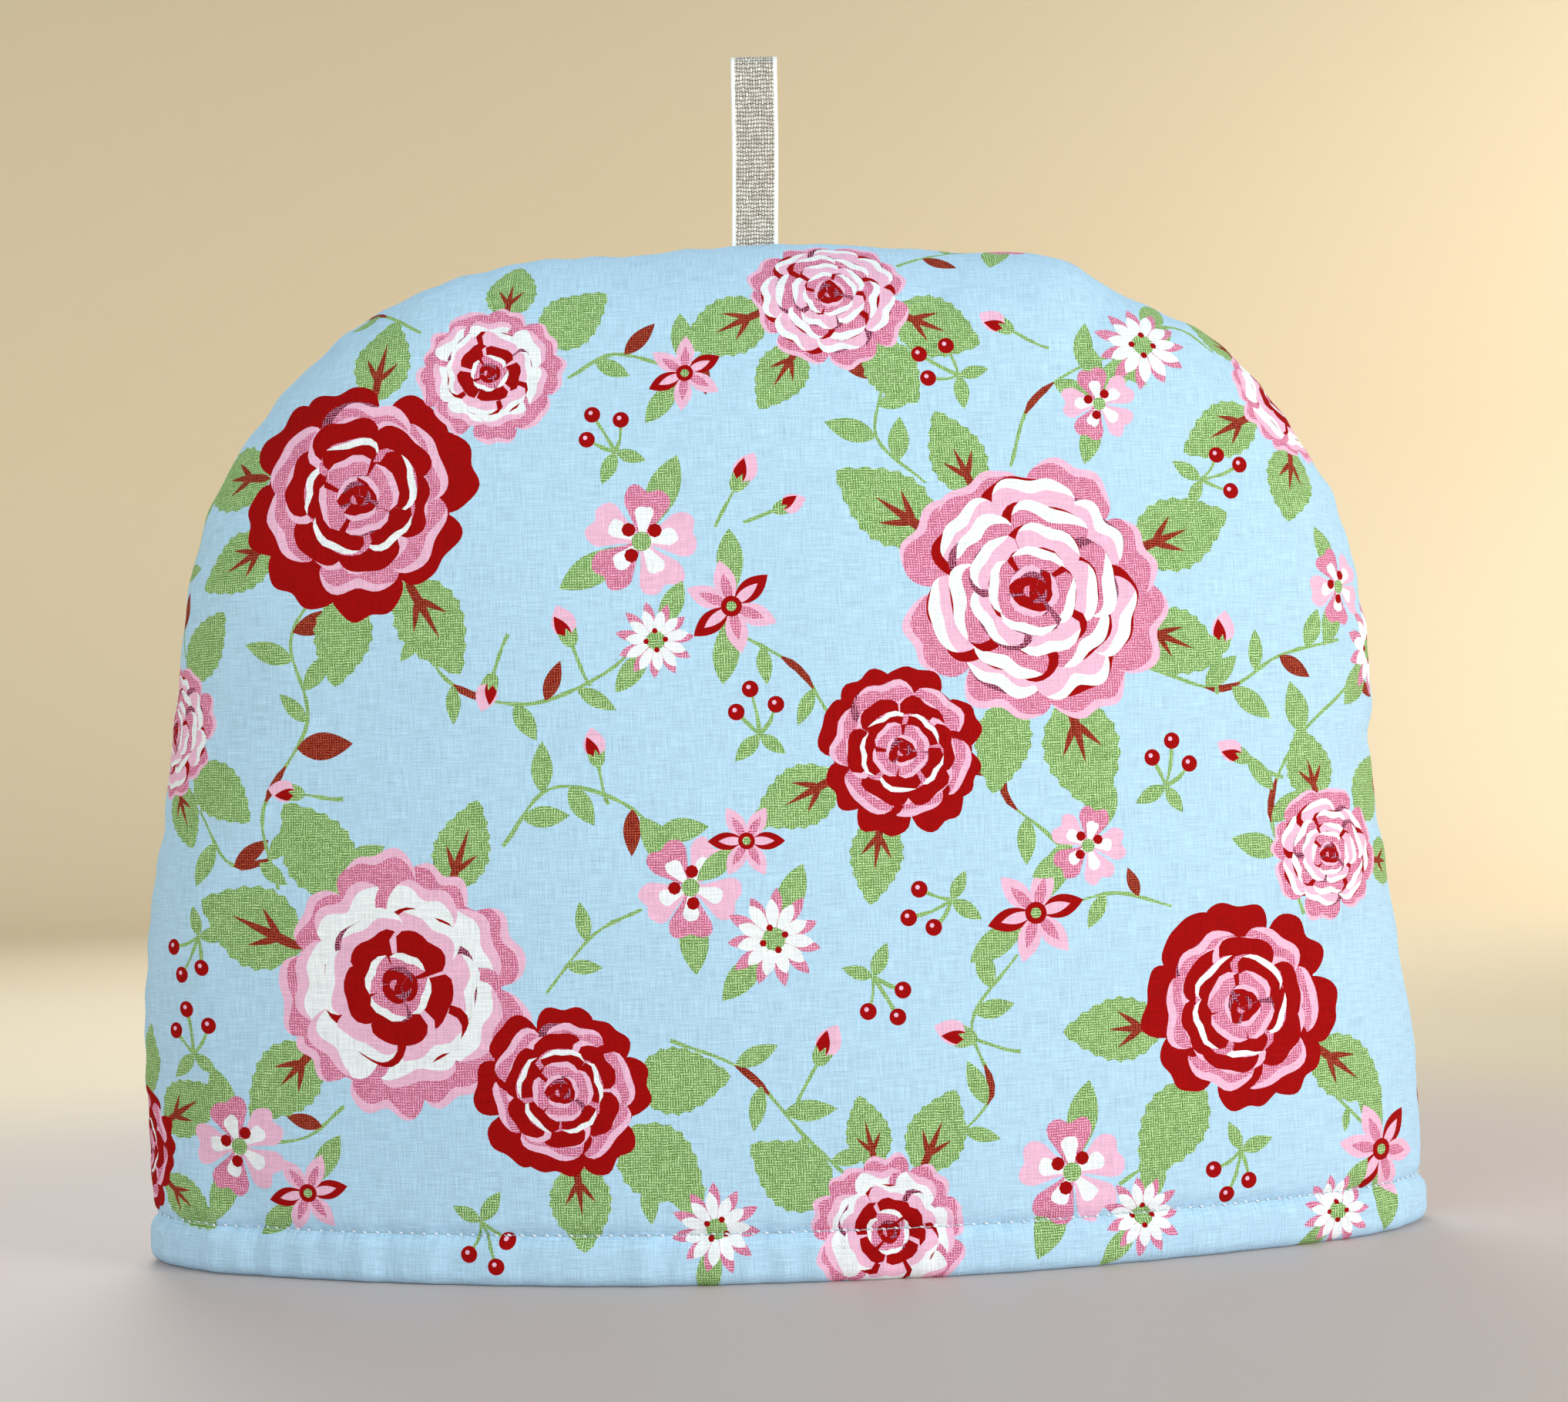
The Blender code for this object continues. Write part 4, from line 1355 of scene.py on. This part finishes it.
print("ribbon")
ribbonWeave = {
    "step": 0.00020,           # of the mesh
    "warpPitch": 0.00070,      # across the ribbon
    "weftPitch": 0.00104,      # along it
    "yarn": 0.00011,           # how far a yarn stands out
    "lift": 0.00012,           # how far it rises and dips over and under the others
    "selvedge": 0.00090,
    "cover": 0.94,             # width of a yarn, of its pitch
    "cord": 0.9,               # height of the selvedge, and of its swells, of a yarn
    "cordSwell": 0.35,
    "scallop": 0.00009,
    "bow": 0.00025,            # slow sideways unevenness, and how fast it turns up the loop
    "bowTurn": 5.0,
    "cream": (0.96, 0.90, 0.83),
    "taupe": (0.62, 0.55, 0.485),
    # painted shade in the gaps between the yarns
    "gap": (0.055, 0.038, 0.028),
    "white": (0.96, 0.96, 0.96),
    "sway": {"Sway Scale": 420.0, "Sway": 0.0009, "Sway Middle": 0.5},
    "shadedFrom": 0.46,           # from a yarn's middle, in pitches, where it is all painted shade
    "litFrom": 0.14,           # and where it is all lit
    "fibres": {"Scale": 1600.0, "Detail": 3.0, "Low": 0.0, "High": 1.0, "Dark": 0.75, "Bright": 1.25},
    "relief": 0.0001,
    "reliefStrength": 0.5,
    "roughness": 0.85,
}


def ribbonLine(crown):
    # the middle line (y, z), from the front tail's end over the fold to the back tail's end
    sewn = ribbon["plyGap"] / 2 + ribbon["solidThickness"] / 2
    fold = crown + ribbon["loopHeight"] - ribbon["solidThickness"] / 2 - ribbon["radius"]
    base = crown - panel["grooveDepth"]
    share = np.linspace(0, 1, 160)
    swell = np.sin(share * math.pi / 2) ** 2
    flank = np.column_stack([-sewn - (ribbon["radius"] - sewn) * swell, base + (fold - base) * share])
    turn = np.linspace(0, math.pi / 2, 40)[1:]
    top = np.column_stack([-ribbon["radius"] * np.cos(turn), fold + ribbon["radius"] * np.sin(turn)])
    front = np.concatenate([[(-sewn, crown - ribbon["tail"])], flank, top])
    return resampled(np.concatenate([front, front[-2::-1] * (-1, 1)]), ribbonWeave["step"])


def weaveHeight(across, along):
    # how far the cloth's surface stands out: the higher of the two yarns at a place
    a, b = across / ribbonWeave["warpPitch"], along / ribbonWeave["weftPitch"]
    i, j = np.round(a), np.round(b)
    warp = np.sqrt(np.maximum(0, 1 - (2 * (a - i) / ribbonWeave["cover"]) ** 2))
    weft = np.sqrt(np.maximum(0, 1 - (2 * (b - j) / ribbonWeave["cover"]) ** 2))
    warpUp = ribbonWeave["yarn"] * warp + ribbonWeave["lift"] * np.cos(math.pi * (b + i))
    weftUp = ribbonWeave["yarn"] * weft - ribbonWeave["lift"] * np.cos(math.pi * (a + j))
    edge = ribbon["width"] / 2 - np.abs(across) < ribbonWeave["selvedge"]
    swells = ribbonWeave["cordSwell"] * np.abs(np.cos(math.pi * 2 * b))
    cord = ribbonWeave["yarn"] * (ribbonWeave["cord"] + swells)
    return np.where(edge, cord, np.maximum(warpUp, weftUp))


def ribbonPiece(crown, material):
    line, along = ribbonLine(crown)
    ahead = np.gradient(line, axis=0)
    outward = unit(np.column_stack([-ahead[:, 1], ahead[:, 0]]))
    columns = int(ribbon["width"] / ribbonWeave["step"]) + 1
    across, along = np.meshgrid(np.linspace(-1, 1, columns) * ribbon["width"] / 2, along)
    outermost = np.abs(across) > ribbon["width"] / 2 - 0.5 * ribbonWeave["step"]
    loops = np.abs(np.sin(math.pi * along / ribbonWeave["weftPitch"]))
    across = across + np.sign(across) * ribbonWeave["scallop"] * loops * outermost
    rise = np.clip((line[:, 1:] - crown) / ribbon["loopHeight"], 0, 1)
    bow = ribbonWeave["bow"] * np.sin(rise * ribbonWeave["bowTurn"]) * rise
    x = ribbon["place"] + ribbon["lean"] * rise + bow + across
    sheets, corners = [], []
    for side in (1, -1):
        shifted = along + 0.5 * ribbonWeave["weftPitch"] * (side < 0)
        height = weaveHeight(across, shifted)
        away = side * (ribbon["thickness"] / 2 + height - ribbonWeave["yarn"])
        y = line[:, :1] + outward[:, :1] * away
        z = line[:, 1:] + outward[:, 1:] * away
        sheets.append(np.stack([x, y, z], 2).reshape(-1, 3))
        corners.append(np.column_stack([across.reshape(-1), shifted.reshape(-1)]))
    rows, count = len(line), len(line) * columns
    grid = np.arange(count).reshape(rows, columns)
    quads = np.stack([grid[:-1, :-1], grid[1:, :-1], grid[1:, 1:], grid[:-1, 1:]], 2).reshape(-1, 4)
    edge = np.concatenate([grid[0, :], grid[1:, -1], grid[-1, -2::-1], grid[-2:0:-1, 0]])
    after = np.roll(edge, -1)
    strip = np.column_stack([edge, after, after + count, edge + count])
    faces = np.concatenate([quads, quads[:, ::-1] + count, strip])
    piece = newPiece("ribbonLoop", np.concatenate(sheets), faces.tolist(), material)
    flatCloth = np.concatenate(corners)[faces.reshape(-1)]
    piece.data.uv_layers.new(name="cloth").data.foreach_set("uv", flatCloth.reshape(-1))
    print("ribbonLoop", 2 * len(faces), "triangles")
    return piece, float(along[-1, 0])


def linenRibbon():
    material, tree, shader = newMaterial("linenRibbon", ribbonWeave["roughness"])
    place = addNode(tree, "UVMap", uv_map="cloth").outputs[0]
    cells = addNode(tree, "Group", {
        "Place": place, "Across Pitch": ribbonWeave["warpPitch"],
        "Along Pitch": ribbonWeave["weftPitch"], "Shift": 0.5, **ribbonWeave["sway"],
    }, node_tree=basketCells)
    narrow = mixValues(tree, cells.outputs["Turned"], cells.outputs["Across"], cells.outputs["Along"])
    yarn = mixColours(tree, cells.outputs["Chance"], (*ribbonWeave["taupe"], 1),
                      (*ribbonWeave["cream"], 1))
    # the yarns keep their colour at their middles and darken to painted shade in the gaps between
    # them
    lit = addNode(tree, "MapRange", {0: narrow, 1: ribbonWeave["shadedFrom"], 2: ribbonWeave["litFrom"]})
    yarnsAndShade = mixColours(tree, lit.outputs[0], (*ribbonWeave["gap"], 1), yarn)
    across = addNode(tree, "SeparateXYZ", {0: place}).outputs[0]
    edge = maths(tree, "GREATER_THAN", maths(tree, "ABSOLUTE", across),
                 ribbon["width"] / 2 - ribbonWeave["selvedge"])
    coloured = mixColours(tree, edge, yarnsAndShade, (*ribbonWeave["white"], 1))
    grain = addNode(tree, "Group", {"Place": place, **ribbonWeave["fibres"]}, node_tree=fibres)
    finishCloth(tree, shader, coloured, grain.outputs["Light"], ribbonWeave["reliefStrength"],
                ribbonWeave["relief"], grain.outputs["Height"])
    return material


nearRibbon = np.abs(frontForm.seam[:, 0] - ribbon["place"]) < ribbon["width"]
ribbonLoop, ribbonLength = ribbonPiece(float(frontForm.seam[nearRibbon, 1].mean()), linenRibbon())
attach(ribbonLoop, "root")
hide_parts("hanging_loop")

print("studio")
studio = {
    "floorColour": (0.64, 0.53, 0.50),
    "wallColour": (0.84, 0.70, 0.50),
    "turnsToWall": (0.22, 0.50),   # how far from the cosy the floor's colour becomes the wall's
    "flatRadius": 0.5,
    "floorRadius": 1.3,
    "bend": 0.35,                  # radius of the bend from the floor up to the wall
    "bendSteps": 12,
    "sides": 96,
    "wallHeight": 1.1,
    "roughness": 0.6,
    "world": (0.76, 0.92, 1.0),
    "worldStrength": 0.52,
}


def palePaper():
    material, tree, shader = newMaterial("palePaper", studio["roughness"])
    place = addNode(tree, "TexCoord").outputs["Object"]
    away = addNode(tree, "VectorMath", {0: place}, operation="LENGTH")
    low, high = studio["turnsToWall"]
    share = addNode(tree, "MapRange", {0: away.outputs["Value"], 1: low, 2: high},
                    interpolation_type="SMOOTHSTEP")
    colour = mixColours(tree, share.outputs[0], (*studio["floorColour"], 1),
                        (*studio["wallColour"], 1))
    tree.links.new(colour, shader.inputs["Base Color"])
    return material


def addFloor():
    # a round floor, its edge drawn outwards and up ring by ring
    rings = [(studio["floorRadius"], 0.0)]
    for k in range(studio["bendSteps"]):
        turn = math.pi / 2 * (k + 1) / studio["bendSteps"]
        rings.append((studio["floorRadius"] + studio["bend"] * math.sin(turn),
                      studio["bend"] * (1 - math.cos(turn))))
    rings.append((studio["floorRadius"] + studio["bend"], studio["wallHeight"]))
    clearSelection()
    bpy.ops.mesh.primitive_circle_add(vertices=studio["sides"], radius=studio["flatRadius"],
                                      fill_type="NGON")
    floor = bpy.context.object
    floor.name = floor.data.name = "floor"
    bpy.ops.object.mode_set(mode="EDIT")
    bpy.ops.mesh.select_mode(type="EDGE")
    bpy.ops.mesh.select_all(action="SELECT")
    radius, height = studio["flatRadius"], 0.0
    for ringRadius, ringHeight in rings:
        bpy.ops.mesh.extrude_edges_move(
            TRANSFORM_OT_translate={"value": (0, 0, ringHeight - height)})
        wider = ringRadius / radius
        bpy.ops.transform.resize(value=(wider, wider, 1), center_override=(0, 0, 0))
        radius, height = ringRadius, ringHeight
    bpy.ops.object.mode_set(mode="OBJECT")
    floor.data.shade_smooth()
    floor.data.materials.append(palePaper())


lamps = {
    # name: its place, what it points at, size, spread in degrees, power, colour
    "key": ((1.10, -0.80, 0.40), (0, 0, 0.14), 0.6, 70, 2.25, (0.93, 0.985, 1.0)),
    "fill": ((-0.75, -1.1, 0.55), (0, 0, 0.16), 0.9, 110, 3.25, (0.76, 0.92, 1.0)),
    "backFill": ((-0.2, 1.1, 0.8), (0, 0, 0.12), 0.9, 110, 3.2, (0.95, 0.98, 1.0)),
    "wallWash": ((1.15, 0.75, 0.7), (0.60, 1.6, 0.15), 0.5, 120, 5.0, (1.0, 0.98, 0.95)),
}


def addLight(name, place, target, size, spread, power, colour):
    lamp = bpy.data.lights.new(name, "AREA")
    lamp.size = size
    lamp.spread = math.radians(spread)
    lamp.energy = power
    lamp.color = colour
    light = bpy.data.objects.new(name, lamp)
    light.location = place
    light.rotation_euler = (Vector(target) - Vector(place)).to_track_quat("-Z", "Y").to_euler()
    light.visible_camera = False
    bpy.context.scene.collection.objects.link(light)


addFloor()
for lampName, values in lamps.items():
    addLight(lampName, *values)
bpy.context.scene.view_settings.view_transform = "Standard"
world = bpy.data.worlds.new("studioLight")
world.use_nodes = True
world.node_tree.nodes["Background"].inputs[0].default_value = (*studio["world"], 1)
world.node_tree.nodes["Background"].inputs[1].default_value = studio["worldStrength"]
bpy.context.scene.world = world
